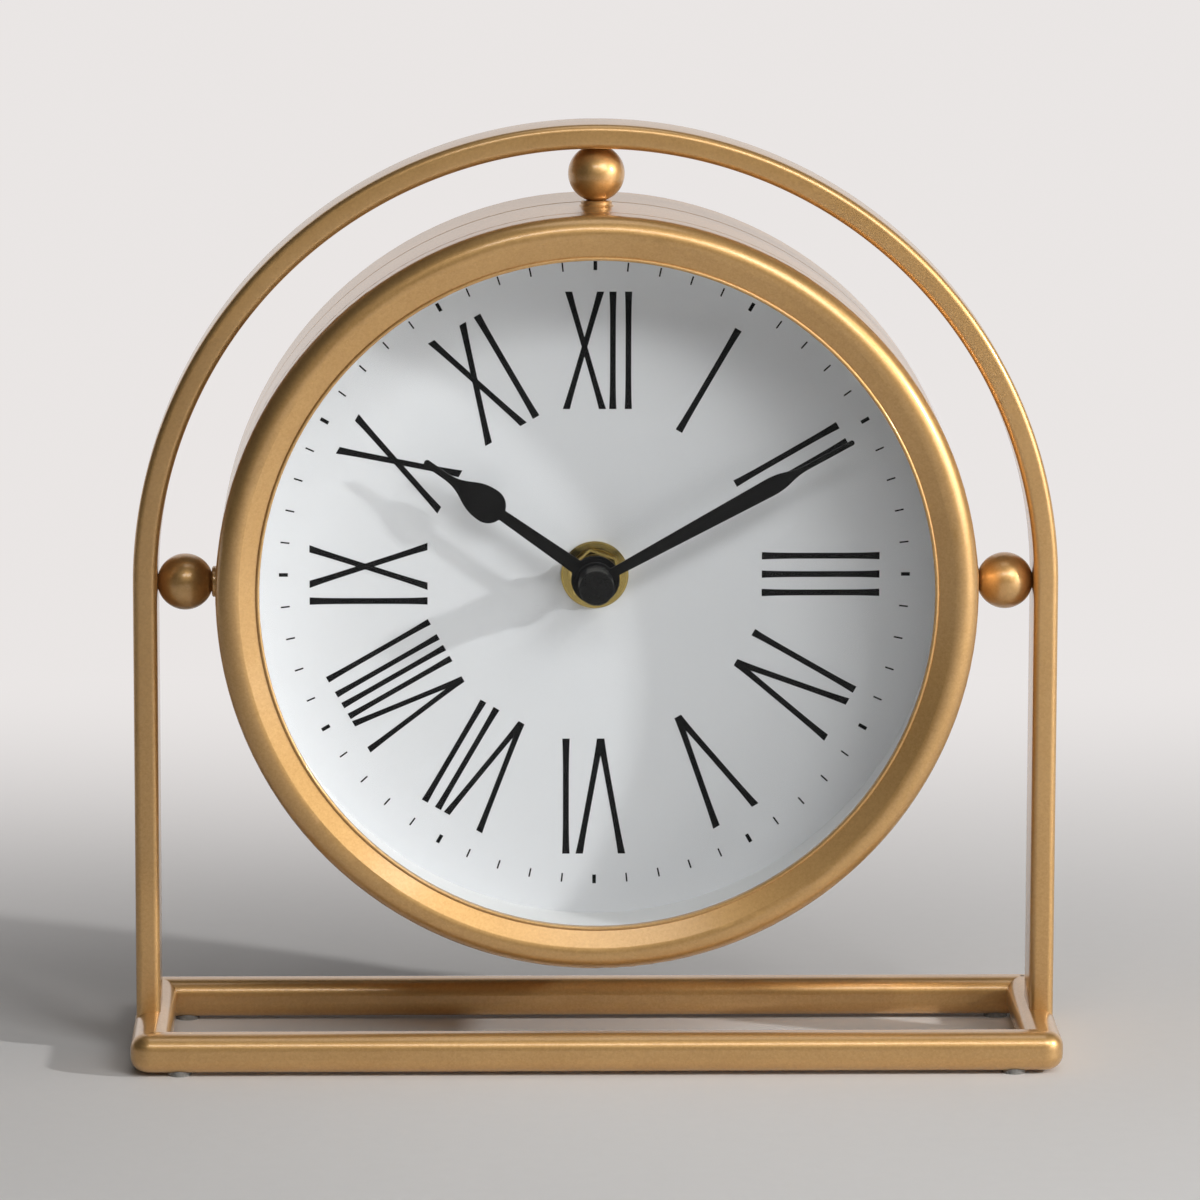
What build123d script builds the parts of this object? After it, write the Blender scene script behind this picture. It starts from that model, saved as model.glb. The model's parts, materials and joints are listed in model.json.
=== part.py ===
from build123d import *
import os
from math import cos, radians, sin, sqrt

# Quartz desk clock: a round clock head held by three balls in an arched stand on a base frame.
# Millimetres. +X is right and +Y is back as the dial is read, +Z is up. The origin lies on the
# table, under the middle of the base. Depths are along Y, from the middle plane of the arch.

# Arch, one flat bar bent into an inverted U
arch_width = 190.0
arch_bar_thickness = 5.0
arch_bar_depth = 14.0
arch_edge_radius = 1.4
axis_height = 98.0

# Base frame of four bars on thin pads
base_overhang = 0.5
base_depth = 59.0
bar_size = 8.0
bar_edge_radius = 3.2
pad_thickness = 0.7
pad_diameter = 5.0
pad_inset = 6.0

# Balls between the arch and the clock head
ball_diameter = 11.6
ball_weld_depth = 0.2
ball_neck_length = 0.8
ball_neck_diameter = 6.6
ball_screw_reach = 5.0

# Screws
screw_diameter = 2.9
screw_head_diameter = 5.4
screw_head_height = 1.6
screw_clearance = 0.15
thread_clearance = 0.05

# Case drum of two shells, and what closes it
case_wall = 1.0
case_ahead = 12.2
case_depth = 37.2
case_rim_radius = 0.6
shell_edge_radius = 0.5
shell_fit = 0.05
lap_clearance = 1.0
flange_width = 5.0
flange_thickness = 1.0
back_plate_thickness = 1.5
back_plate_clearance = 0.4
back_screw_count = 4

# Bezel, glass and the stack behind it
bezel_width = 9.0
bezel_shoulder = 3.5
bezel_height = 8.4
bezel_slope = 23.0
bezel_bead_width = 0.8
bezel_bead_height = 0.3
bezel_lip_thickness = 0.9
bezel_spigot = 2.0
bezel_fit = 0.05
bezel_edge_radius = 0.3
glass_thickness = 2.0
glass_overlap = 3.8
glass_clearance = 0.2
spacer_wall = 1.0
spacer_length = 23.4
dial_thickness = 1.0
dial_clearance = 0.4
rear_spacer_wall = 2.5

# Movement housing and its fixing through the dial
movement_corner = 4.0
movement_wall = 1.2
movement_split = 4.0
cutout_clearance = 0.7
bush_diameter = 7.8
bush_length = 8.0
bush_clearance = 0.1
rubber_washer_diameter = 20.0
rubber_washer_thickness = 1.0
dial_washer_diameter = 14.0
dial_washer_thickness = 0.5
nut_across_flats = 10.0
nut_thickness = 2.2
nut_chamfer = 0.4
nut_corner_angle = 101.0

# Motion works: pipes, wheels and the setting arbor
minute_pipe_diameter = 3.2
hour_pipe_diameter = 5.2
second_arbor_diameter = 1.2
running_clearance = 0.05
motion_module = 0.5
cannon_teeth = 10
minute_works_teeth = 30
minute_works_pinion_teeth = 8
hour_teeth = 32
setting_arbor_diameter = 2.0
setting_pivot_diameter = 1.6
knob_diameter = 10.0
knob_length = 2.6
knob_gap = 0.4
knob_flutes = 12
knob_flute_radius = 0.8

# Running train, driven by the rotor of the stepping motor
train_pinion_teeth = 6
centre_teeth = 48
third_teeth = 45
second_teeth = 36
fifth_teeth = 30
rotor_module = 0.3
arbor_diameter = 1.0
arbor_passage = 0.5
setting_passage = 1.0
third_direction = 0.0
fifth_direction = 150.0
setting_direction = 90.0
rotor_direction = 180.0

# Teeth: widths as shares of the tooth pitch, heights as shares of the module
wheel_root_share = 0.31
wheel_tip_share = 0.09
wheel_addendum = 0.9
wheel_dedendum = 1.1
pinion_root_share = 0.22
pinion_tip_share = 0.13
pinion_addendum = 0.8
pinion_dedendum = 1.15

# Layers inside the movement
wheel_thickness = 0.8
layer_gap = 0.4
pinion_overlap = 0.1
middle_plate_thickness = 1.0
plate_clearance = 0.3
pillar_diameter = 3.0
pillar_inset = 5.0
pivot_boss_diameter = 2.6
pivot_boss_height = 1.4
pivot_depth = 0.8

# Stepping motor and battery
magnet_diameter = 6.0
magnet_thickness = 2.0
stator_gap = 0.6
stator_thickness = 1.0
stator_leg_width = 3.8
stator_bridge_height = 9.5
coil_core_height = 3.0
coil_diameter = 7.2
coil_gap = 0.3
board_width = 15.0
board_height = 14.0
board_thickness = 0.8
battery_diameter = 14.2
battery_length = 49.0
battery_button_diameter = 5.5
battery_button_length = 1.2
battery_edge_radius = 0.4
battery_clearance = 0.3
battery_end_room = 1.7
contact_thickness = 0.4
contact_width = 9.0

# Hands, with angles clockwise from twelve
hour_angle = 305.1
minute_angle = 61.2
hand_thickness = 0.6
hour_hand_length = 43.0
hour_hub_diameter = 10.0
hour_shaft_root_width = 3.2
hour_shaft_end_width = 2.1
hour_bulb_diameter = 7.3
hour_bulb_distance = 27.0
hour_neck_distance = 38.0
hour_tip_width = 1.4
hour_collet_length = 0.9
minute_hand_length = 60.5
minute_hub_diameter = 8.2
minute_root_width = 1.8
minute_leaf_width = 3.7
minute_leaf_distance = 40.7
minute_neck_distance = 50.0
minute_tip_width = 1.0
minute_collet_length = 1.6
hand_gap = 0.6
cap_diameter = 7.2
cap_length = 7.6
cap_wall = 1.2
cap_edge_radius = 0.3
collet_wall = 1.0

# Places that follow from the sizes above
arch_outer = arch_width / 2
arch_inner = arch_outer - arch_bar_thickness
base_width = arch_width + 2 * base_overhang
bar_middle = pad_thickness + bar_size / 2
bar_x = base_width / 2 - bar_size / 2
bar_y = base_depth / 2 - bar_size / 2

case_radius = arch_inner + ball_weld_depth - ball_diameter - ball_neck_length
case_inner = case_radius - case_wall
case_front = -case_ahead
case_back = case_front + case_depth
flange_back = case_back - back_plate_thickness
flange_front = flange_back - flange_thickness
flange_inner = case_inner - flange_width

bezel_opening = case_radius - bezel_width
bezel_crest = case_front - bezel_height
glass_radius = bezel_opening + glass_overlap
slope_run = bezel_width - bezel_shoulder - bezel_bead_width
slope_turn = sin(radians(bezel_slope)) / cos(radians(bezel_slope))
bezel_lip = bezel_crest + slope_run * slope_turn
glass_front = bezel_lip + bezel_lip_thickness
glass_back = glass_front + glass_thickness
dial_front = glass_back + spacer_length
dial_back = dial_front + dial_thickness
shell_seam = dial_front - case_wall
lap_front = screw_head_diameter / 2 + lap_clearance

# Centre distance of the motion works, which both of its pairs share
motion_distance = motion_module * (cannon_teeth + minute_works_teeth) / 2
hour_module = 2 * motion_distance / (minute_works_pinion_teeth + hour_teeth)
hour_outer = hour_module * (hour_teeth / 2 + wheel_addendum)

movement_front = dial_back + rubber_washer_thickness
movement_inside = movement_front + movement_wall
movement_seam = movement_front + movement_split

# The housing is as wide as the cell needs, or as the hour wheel needs above the cell
bay_height = battery_diameter + 2 * battery_clearance
cell_half = (battery_length + battery_button_length) / 2 + battery_end_room
works_half = bay_height + movement_wall + plate_clearance + hour_outer
cavity_half = max(cell_half, works_half)
movement_size = 2 * (cavity_half + movement_wall)
bay_middle = -cavity_half + bay_height / 2
bay_top = -cavity_half + bay_height
train_bottom = bay_top + movement_wall

bush_radius = bush_diameter / 2
bush_front = movement_inside - bush_length
minute_pipe_radius = minute_pipe_diameter / 2
hour_pipe_radius = hour_pipe_diameter / 2
hour_hand_back = bush_front - hand_gap - hour_collet_length
hour_hand_front = hour_hand_back - hand_thickness
minute_hand_back = hour_hand_front - hand_gap - minute_collet_length
minute_hand_front = minute_hand_back - hand_thickness
cap_front = minute_hand_front - cap_length

hour_layer = movement_inside + layer_gap
cannon_layer = hour_layer + wheel_thickness + layer_gap
middle_plate_front = cannon_layer + wheel_thickness + layer_gap
middle_plate_back = middle_plate_front + middle_plate_thickness
centre_layer = middle_plate_back + layer_gap
third_layer = centre_layer + wheel_thickness + layer_gap
second_layer = third_layer + wheel_thickness + layer_gap
fifth_layer = second_layer + wheel_thickness + layer_gap
magnet_front = fifth_layer + wheel_thickness + layer_gap
magnet_back = magnet_front + magnet_thickness
stator_front = magnet_front + (magnet_thickness - stator_thickness) / 2
stator_back = stator_front + stator_thickness

# The housing is as deep as the cell or the train needs
train_back = magnet_back + layer_gap + pivot_boss_height + movement_wall
movement_back = max(movement_inside + bay_height, train_back)
back_wall = movement_back - movement_wall
boss_front = back_wall - pivot_boss_height
pivot_end = boss_front + pivot_depth
minute_pipe_back = centre_layer + wheel_thickness

# Centre distances of the train, so that every arbor passes beside the wheels in front of it
centre_outer = motion_distance - setting_arbor_diameter / 2 - setting_passage
centre_module = centre_outer / (centre_teeth / 2 + wheel_addendum)
third_distance = centre_module * (centre_teeth + train_pinion_teeth) / 2
third_module = 2 * third_distance / (third_teeth + train_pinion_teeth)
fifth_distance = centre_outer + arbor_diameter / 2 + arbor_passage
second_module = 2 * fifth_distance / (second_teeth + train_pinion_teeth)
rotor_distance = rotor_module * (fifth_teeth + train_pinion_teeth) / 2


def polar(distance, direction):
    """Point at a distance and a direction, counter-clockwise from the right, in the dial plane."""
    return distance * cos(radians(direction)), distance * sin(radians(direction))


centre_place = (0.0, 0.0)
setting_place = polar(motion_distance, setting_direction)
third_place = polar(third_distance, third_direction)
fifth_place = polar(fifth_distance, fifth_direction)
rotor_step = polar(rotor_distance, rotor_direction)
rotor_place = (fifth_place[0] + rotor_step[0], fifth_place[1] + rotor_step[1])

# The clock axis, and a plane whose x is a radius from that axis and whose y is the depth
clock_axis = Axis((0, 0, axis_height), (0, 1, 0))
radius_plane = Plane(origin=(0, 0, axis_height))


def dial_plane(depth, place=centre_place):
    """Plane across the clock axis at a depth, x to the right and y up, facing the front."""
    return Plane(origin=(place[0], depth, axis_height + place[1]), x_dir=(1, 0, 0), z_dir=(0, -1, 0))


def slab(outline, front, back, place=centre_place):
    """Outline drawn in the dial plane, given its thickness between two depths."""
    return extrude(dial_plane(back, place) * outline, amount=back - front)


def disc(radius, front, back, place=centre_place):
    """Round slab between two depths."""
    return slab(Circle(radius), front, back, place)


def tube(outer, inner, front, back, place=centre_place):
    """Round slab with a round hole."""
    return slab(Circle(outer) - Circle(inner), front, back, place)


def turned(*edges):
    """Ring made by turning a closed outline of radius and depth about the clock axis."""
    return revolve(radius_plane * make_face(Curve() + list(edges)), axis=clock_axis)


def box_slab(left, right, bottom, top, front, back):
    """Rectangular slab whose sides are given from the clock axis."""
    outline = Pos((left + right) / 2, (bottom + top) / 2) * Rectangle(right - left, top - bottom)
    return slab(outline, front, back)


def toothed(teeth, module, phase, root_share, tip_share, addendum, dedendum):
    """Outline of a gear with straight flanks and one tooth at the phase angle."""
    pitch_radius = module * teeth / 2
    tip = pitch_radius + module * addendum
    root = pitch_radius - module * dedendum
    corners = ((root, -root_share), (tip, -tip_share), (tip, tip_share), (root, root_share))
    points = []
    for tooth in range(teeth):
        for radius, share in corners:
            points.append(polar(radius, phase + (tooth + share) * 360 / teeth))
    return make_face(Polyline(*points, close=True))


def wheel_teeth(teeth, module, phase):
    """Outline of a wheel, the larger gear of a pair."""
    return toothed(teeth, module, phase, wheel_root_share, wheel_tip_share, wheel_addendum, wheel_dedendum)


def pinion_teeth(teeth, module, phase):
    """Outline of a pinion, the smaller gear of a pair."""
    return toothed(
        teeth, module, phase, pinion_root_share, pinion_tip_share, pinion_addendum, pinion_dedendum
    )


def facing(teeth, direction):
    """Phase that turns a gap, not a tooth, towards a direction."""
    return direction + 180 / teeth


def wheel_slab(outline, layer, place):
    """Wheel in its layer."""
    return slab(outline, layer, layer + wheel_thickness, place)


def pinion_slab(outline, layer, place):
    """Pinion, a little longer than the wheel that it meshes with."""
    return slab(outline, layer - pinion_overlap, layer + wheel_thickness + pinion_overlap, place)


# Stand
def bar_section():
    """Rounded square section of a base bar."""
    return RectangleRounded(bar_size, bar_size, bar_edge_radius)


def long_bar(side):
    """Bar across the front or the rear of the stand, its outer corners rounded in plan."""
    depth = side * bar_y
    start = Plane(origin=(-bar_x, depth, bar_middle), x_dir=(0, 1, 0), z_dir=(1, 0, 0))
    bar = extrude(start * bar_section(), amount=2 * bar_x)
    outer_half = bar_section() & Pos(side * bar_size / 4, 0) * Rectangle(bar_size / 2, bar_size)
    for end in (-1, 1):
        corner = Plane(origin=(end * bar_x, depth, bar_middle), x_dir=(0, 1, 0), z_dir=(1, 0, 0))
        axis = Axis((end * bar_x, depth, bar_middle), (0, 0, -end * side))
        bar += revolve(corner * outer_half, axis=axis, revolution_arc=90)
    return bar


def side_bar(x, front_bar, rear_bar):
    """Bar from front to back, coped to the bars that it is welded to."""
    start = Plane(origin=(x, -bar_y, bar_middle), x_dir=(-1, 0, 0), z_dir=(0, 1, 0))
    return extrude(start * bar_section(), amount=2 * bar_y) - front_bar - rear_bar


def foot_pads(bars):
    """Four soft pads under the corners, hollowed to the bars above them."""
    pads = []
    pad_x = bar_x - pad_inset
    for x in (-pad_x, pad_x):
        for y in (-bar_y, bar_y):
            pad = Pos(x, y, bar_middle / 2) * Cylinder(pad_diameter / 2, bar_middle)
            pads.append(pad - bars)
    return Compound(children=pads)


def stand_arch(side_bars):
    """Flat bar bent round the clock head, its feet coped to the side bars."""
    middle = arch_outer - arch_bar_thickness / 2
    left_leg = Line((-middle, 0, bar_middle), (-middle, 0, axis_height))
    crown = ThreePointArc((-middle, 0, axis_height), (0, 0, axis_height + middle), (middle, 0, axis_height))
    right_leg = Line((middle, 0, axis_height), (middle, 0, bar_middle))
    section = RectangleRounded(arch_bar_thickness, arch_bar_depth, arch_edge_radius)
    start = Plane(origin=(-middle, 0, bar_middle), x_dir=(1, 0, 0), z_dir=(0, 0, 1))
    return sweep(start * section, path=Wire([left_leg, crown, right_leg])) - side_bars


# Balls, each drawn at the top and turned about the clock axis to its place
def ball(arch, drum_skin, turn):
    """Ball welded to the arch, with a short neck that stands on the drum and a tapped hole."""
    radius = ball_diameter / 2
    distance = arch_inner + ball_weld_depth - radius
    neck_top = axis_height + distance
    neck_foot = axis_height + case_inner
    neck = Pos(0, 0, (neck_top + neck_foot) / 2) * Cylinder(ball_neck_diameter / 2, neck_top - neck_foot)
    hole_top = axis_height + case_radius + ball_screw_reach + thread_clearance
    hole_radius = screw_diameter / 2 + thread_clearance
    hole = Pos(0, 0, (neck_foot + hole_top) / 2) * Cylinder(hole_radius, hole_top - neck_foot)
    body = Pos(0, 0, neck_top) * Sphere(radius) + neck - hole
    return body.rotate(clock_axis, turn) - arch - drum_skin


def ball_screw(turn):
    """Screw from inside the drum wall into a ball."""
    seat = axis_height + sqrt(case_inner**2 - (screw_head_diameter / 2) ** 2)
    tip = axis_height + case_radius + ball_screw_reach
    head = Pos(0, 0, seat - screw_head_height / 2) * Cylinder(screw_head_diameter / 2, screw_head_height)
    shank = Pos(0, 0, (seat + tip) / 2) * Cylinder(screw_diameter / 2, tip - seat)
    return (head + shank).rotate(clock_axis, turn)


# Clock head
def outer_edges(ring):
    """Round edges of the largest radius, from front to back."""
    edges = ring.edges().filter_by(GeomType.CIRCLE)
    largest = max(edge.radius for edge in edges)
    return edges.filter_by(lambda edge: edge.radius == largest).sort_by(Axis.Y)


def case_drum(ball_turns):
    """Front shell of the drum, with holes for the screws of the balls."""
    drum = tube(case_radius, case_inner, case_front, shell_seam)
    drum = fillet(outer_edges(drum)[0], bezel_edge_radius)
    drum = fillet(outer_edges(drum)[-1], shell_edge_radius)
    hole_radius = screw_diameter / 2 + screw_clearance
    for turn in ball_turns:
        hole = Pos(0, 0, axis_height + case_radius) * Cylinder(hole_radius, 4 * case_wall)
        drum -= hole.rotate(clock_axis, turn)
    return drum


def rear_shell():
    """Rear shell: a lap inside the front shell that seats the dial, and a flange for the back plate."""
    lap_outer = case_inner - shell_fit
    lap_inner = lap_outer - case_wall
    corners = (
        (lap_inner, lap_front),
        (lap_outer, lap_front),
        (lap_outer, shell_seam),
        (case_radius, shell_seam),
        (case_radius, case_back),
        (case_inner, case_back),
        (case_inner, flange_back),
        (flange_inner, flange_back),
        (flange_inner, flange_front),
        (case_inner, flange_front),
        (case_inner, dial_front),
        (lap_inner, dial_front),
    )
    shell = turned(Polyline(*corners, close=True))
    shell = fillet(outer_edges(shell)[0], shell_edge_radius)
    shell = fillet(outer_edges(shell)[-1], case_rim_radius)
    for place in back_screw_places():
        shell -= disc(screw_diameter / 2 + thread_clearance, flange_front, flange_back, place)
    return shell


def bezel_ring():
    """Ring with a skirt, a rounded shoulder, a slope towards the glass and a fine bead at its inner edge."""
    shoulder_radius = case_radius - bezel_shoulder
    shoulder_depth = bezel_crest + bezel_shoulder

    def on_shoulder(angle):
        x, y = polar(bezel_shoulder, angle)
        return shoulder_radius + x, shoulder_depth - y

    slope_top = on_shoulder(90 + bezel_slope)
    bead_radius = bezel_opening + bezel_bead_width
    bead_depth = slope_top[1] + (slope_top[0] - bead_radius) * slope_turn
    bead_crest = (bezel_opening + bezel_bead_width / 2, bead_depth - bezel_bead_height)
    seat = glass_radius + glass_clearance
    spigot = case_inner - bezel_fit
    spigot_back = case_front + bezel_spigot
    outer = Line((case_radius, case_front), (case_radius, shoulder_depth))
    shoulder = ThreePointArc(on_shoulder(0), on_shoulder((90 + bezel_slope) / 2), slope_top)
    slope = Line(slope_top, (bead_radius, bead_depth))
    bead = ThreePointArc((bead_radius, bead_depth), bead_crest, (bezel_opening, bead_depth))
    back = Polyline(
        (bezel_opening, bead_depth),
        (bezel_opening, glass_front),
        (seat, glass_front),
        (seat, spigot_back),
        (spigot, spigot_back),
        (spigot, case_front),
        (case_radius, case_front),
    )
    ring = turned(outer, shoulder, slope, bead, back)
    return fillet(outer_edges(ring)[-1], bezel_edge_radius)


def back_screw_places():
    """Places of the screws round the back plate."""
    circle = case_inner - flange_width / 2
    step = 360 / back_screw_count
    return [polar(circle, step * (number + 0.5)) for number in range(back_screw_count)]


def back_plate():
    """Plate that closes the drum, open round the movement."""
    opening = movement_size + 2 * cutout_clearance
    plate = disc(case_inner - back_plate_clearance, flange_back, case_back)
    plate -= slab(RectangleRounded(opening, opening, movement_corner), flange_back, case_back)
    for place in back_screw_places():
        plate -= disc(screw_diameter / 2 + screw_clearance, flange_back, case_back, place)
    return plate


def back_screws():
    """Pan-head screws that hold the back plate to the flange."""
    screws = []
    for place in back_screw_places():
        head = disc(screw_head_diameter / 2, case_back, case_back + screw_head_height, place)
        edge = head.faces().sort_by(Axis.Y)[-1].edges()
        head = fillet(edge, screw_head_height / 2)
        screws.append(head + disc(screw_diameter / 2, flange_front, case_back, place))
    return Compound(children=screws)


def dial_nut():
    """Hexagon nut with its front corners taken off."""
    corner_radius = nut_across_flats / sqrt(3)
    front = dial_front - dial_washer_thickness - nut_thickness
    hexagon = RegularPolygon(corner_radius, 6, rotation=nut_corner_angle) - Circle(bush_radius + thread_clearance)
    nut = slab(hexagon, front, front + nut_thickness)
    edges = nut.faces().sort_by(Axis.Y)[0].edges().filter_by(GeomType.LINE)
    return chamfer(edges, nut_chamfer)


# Movement housing
def case_block(front, back):
    """Square block of the movement with rounded corners."""
    return slab(RectangleRounded(movement_size, movement_size, movement_corner), front, back)


def train_room(front, back):
    """Room of the wheels, above the battery."""
    return box_slab(-cavity_half, cavity_half, train_bottom, cavity_half, front, back)


def battery_bay(front, back):
    """Room of the battery, at the bottom of the movement."""
    return box_slab(-cavity_half, cavity_half, -cavity_half, bay_top, front, back)


def pillar_places():
    """Places of the pillars that carry the middle plate."""
    side = cavity_half - pillar_inset
    return [(x, z) for x in (-side, side) for z in (train_bottom + pillar_inset, side)]


def movement_front_case():
    """Front half of the housing, with pillars for the middle plate and a pivot for the setting arbor."""
    case = case_block(movement_front, movement_seam)
    case -= train_room(movement_inside, movement_seam)
    case -= battery_bay(movement_inside, movement_seam)
    for place in pillar_places():
        case += disc(pillar_diameter / 2, movement_inside, middle_plate_front, place)
    case -= disc(bush_radius + running_clearance, movement_front, movement_inside)
    pivot_radius = setting_pivot_diameter / 2 + running_clearance
    return case - disc(pivot_radius, movement_inside - pivot_depth, movement_inside, setting_place)


def board_place():
    """Middle of the circuit board, in the upper right of the movement."""
    return cavity_half - board_width / 2 - plate_clearance, cavity_half - board_height / 2 - plate_clearance


def board_posts():
    """Places of the two posts that hold the circuit board."""
    x, z = board_place()
    step_x = board_width / 4
    step_z = board_height / 4
    return [(x - step_x, z - step_z), (x + step_x, z + step_z)]


def movement_back_case():
    """Back half of the housing, open behind the battery, with pivots for the train."""
    case = case_block(movement_seam, movement_back)
    case -= train_room(movement_seam, back_wall)
    case -= battery_bay(movement_seam, movement_back)
    for place in (centre_place, third_place, fifth_place, rotor_place):
        case += disc(pivot_boss_diameter / 2, boss_front, back_wall, place)
        case -= disc(arbor_diameter / 2 + running_clearance, boss_front, back_wall, place)
    for place in board_posts():
        case += disc(pillar_diameter / 2, stator_back, back_wall, place)
    setting_hole = setting_arbor_diameter / 2 + running_clearance
    return case - disc(setting_hole, back_wall, movement_back, setting_place)


def stator_left():
    """Left side of the stator."""
    return -cavity_half + pillar_inset / 2


def stator_right():
    """Right side of the stator, clear of the setting arbor."""
    return setting_place[0] - setting_arbor_diameter / 2 - setting_passage


def middle_plate():
    """Plate between the motion works and the train, with pivots and posts for the motor."""
    side = cavity_half - plate_clearance
    bottom = train_bottom + plate_clearance
    plate = box_slab(-side, side, bottom, side, middle_plate_front, middle_plate_back)
    plate -= disc(minute_pipe_radius + plate_clearance, middle_plate_front, middle_plate_back)
    for place in (third_place, fifth_place, rotor_place):
        plate -= disc(arbor_diameter / 2 + running_clearance, middle_plate_front, middle_plate_back, place)
    setting_hole = setting_arbor_diameter / 2 + plate_clearance
    plate -= disc(setting_hole, middle_plate_front, middle_plate_back, setting_place)
    post_x = stator_left() + stator_leg_width / 2
    for z in (rotor_place[1], coil_bottom() - pillar_diameter):
        plate += disc(pillar_diameter / 2, middle_plate_back, stator_front, (post_x, z))
    return plate


# Stepping motor and battery
def coil_bottom():
    """Lower edge of the coil core, near the top of the movement."""
    return cavity_half - coil_diameter / 2 - coil_core_height / 2 - plate_clearance


def stator():
    """Laminated yoke: a bridge round the rotor and two legs up to the coil core."""
    top = coil_bottom() + coil_core_height
    bottom = rotor_place[1] - stator_bridge_height / 2
    yoke = box_slab(stator_left(), stator_right(), bottom, top, stator_front, stator_back)
    window_left = stator_left() + stator_leg_width
    window_right = stator_right() - stator_leg_width
    window_bottom = bottom + stator_bridge_height
    yoke -= box_slab(window_left, window_right, window_bottom, top, stator_front, stator_back)
    yoke -= disc(magnet_diameter / 2 + stator_gap, stator_front, stator_back, rotor_place)
    return yoke - disc(arbor_diameter / 2 + arbor_passage, stator_front, stator_back, fifth_place)


def coil_core():
    """Flat iron bar that joins the legs of the stator in front."""
    bottom = coil_bottom()
    front = stator_front - stator_thickness
    return box_slab(stator_left(), stator_right(), bottom, bottom + coil_core_height, front, stator_front)


def coil_winding():
    """Winding round the core, between the legs of the stator."""
    left = stator_left() + stator_leg_width + coil_gap
    right = stator_right() - stator_leg_width - coil_gap
    height = axis_height + coil_bottom() + coil_core_height / 2
    depth = stator_front - stator_thickness / 2
    start = Plane(origin=(left, depth, height), x_dir=(0, 1, 0), z_dir=(1, 0, 0))
    section = Circle(coil_diameter / 2) - Rectangle(stator_thickness, coil_core_height)
    return extrude(start * section, amount=right - left)


def circuit_board():
    """Board that drives the coil."""
    front = stator_back - board_thickness
    return slab(Pos(*board_place()) * Rectangle(board_width, board_height), front, stator_back)


def battery_plane(x):
    """Plane across the battery at a place along it."""
    depth = movement_back - battery_clearance - battery_diameter / 2
    return Plane(origin=(x, depth, axis_height + bay_middle), x_dir=(0, 1, 0), z_dir=(1, 0, 0))


def battery():
    """AA cell with its button to the right."""
    left = -(battery_length + battery_button_length) / 2
    can = extrude(battery_plane(left) * Circle(battery_diameter / 2), amount=battery_length)
    can = fillet(can.edges().filter_by(GeomType.CIRCLE), battery_edge_radius)
    button = Circle(battery_button_diameter / 2)
    return can + extrude(battery_plane(left + battery_length) * button, amount=battery_button_length)


def contact(side):
    """Contact strip on the end wall of the bay, dished out to the cell."""
    cell_end = side * (battery_length + battery_button_length) / 2
    wall = side * cavity_half
    strip_face = wall - side * contact_thickness
    strip = Rectangle(contact_width, contact_width)
    plate = extrude(battery_plane(wall) * strip, amount=-side * contact_thickness)
    dish = loft(
        [
            battery_plane(strip_face) * Circle(battery_button_diameter / 2),
            battery_plane(cell_end) * Circle(battery_button_diameter / 4),
        ]
    )
    return plate + dish


# Motion works
def minute_pipe():
    """Pipe that carries the minute hand, with the cannon pinion on it."""
    pipe = disc(minute_pipe_radius, cap_front + cap_wall, minute_pipe_back)
    outline = pinion_teeth(cannon_teeth, motion_module, setting_direction)
    pinion = pinion_slab(outline, cannon_layer, centre_place)
    return pipe + pinion - disc(second_bore(), cap_front, minute_pipe_back)


def second_bore():
    """Radius of the hole in which the arbor of the second wheel turns."""
    return second_arbor_diameter / 2 + running_clearance


def minute_works_wheel():
    """Wheel driven by the cannon pinion, its pinion, and the arbor that reaches the setting knob."""
    towards_centre = setting_direction + 180
    outline = wheel_teeth(minute_works_teeth, motion_module, facing(minute_works_teeth, towards_centre))
    wheel = wheel_slab(outline, cannon_layer, setting_place)
    outline = pinion_teeth(minute_works_pinion_teeth, hour_module, towards_centre)
    pinion = slab(outline, hour_layer - pinion_overlap, cannon_layer, setting_place)
    arbor = disc(setting_arbor_diameter / 2, cannon_layer, knob_back() - knob_gap, setting_place)
    pivot_front = movement_inside - pivot_depth + running_clearance
    pivot = disc(setting_pivot_diameter / 2, pivot_front, hour_layer, setting_place)
    return wheel + pinion + arbor + pivot


def hour_wheel():
    """Wheel and pipe that carry the hour hand, turning on the minute pipe inside the bush."""
    phase = facing(hour_teeth, setting_direction)
    wheel = wheel_slab(wheel_teeth(hour_teeth, hour_module, phase), hour_layer, centre_place)
    pipe = disc(hour_pipe_radius, hour_hand_front, hour_layer + wheel_thickness)
    bore = minute_pipe_radius + running_clearance
    return wheel + pipe - disc(bore, hour_hand_front, hour_layer + wheel_thickness)


def knob_back():
    """Depth of the end of the setting knob."""
    return movement_back + knob_gap + knob_length


def setting_knob():
    """Fluted knob on the end of the setting arbor."""
    front = movement_back + knob_gap
    outline = Circle(knob_diameter / 2)
    for flute in range(knob_flutes):
        x, y = polar(knob_diameter / 2 + knob_flute_radius / 2, flute * 360 / knob_flutes)
        outline -= Pos(x, y) * Circle(knob_flute_radius)
    knob = slab(outline, front, knob_back(), setting_place)
    return knob - disc(setting_arbor_diameter / 2, front, knob_back() - knob_gap, setting_place)


# Running train
def centre_wheel():
    """Wheel that turns the minute pipe through a friction fit."""
    phase = facing(centre_teeth, third_direction)
    wheel = wheel_slab(wheel_teeth(centre_teeth, centre_module, phase), centre_layer, centre_place)
    bore = minute_pipe_radius + running_clearance
    return wheel - disc(bore, centre_layer, centre_layer + wheel_thickness)


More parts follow.
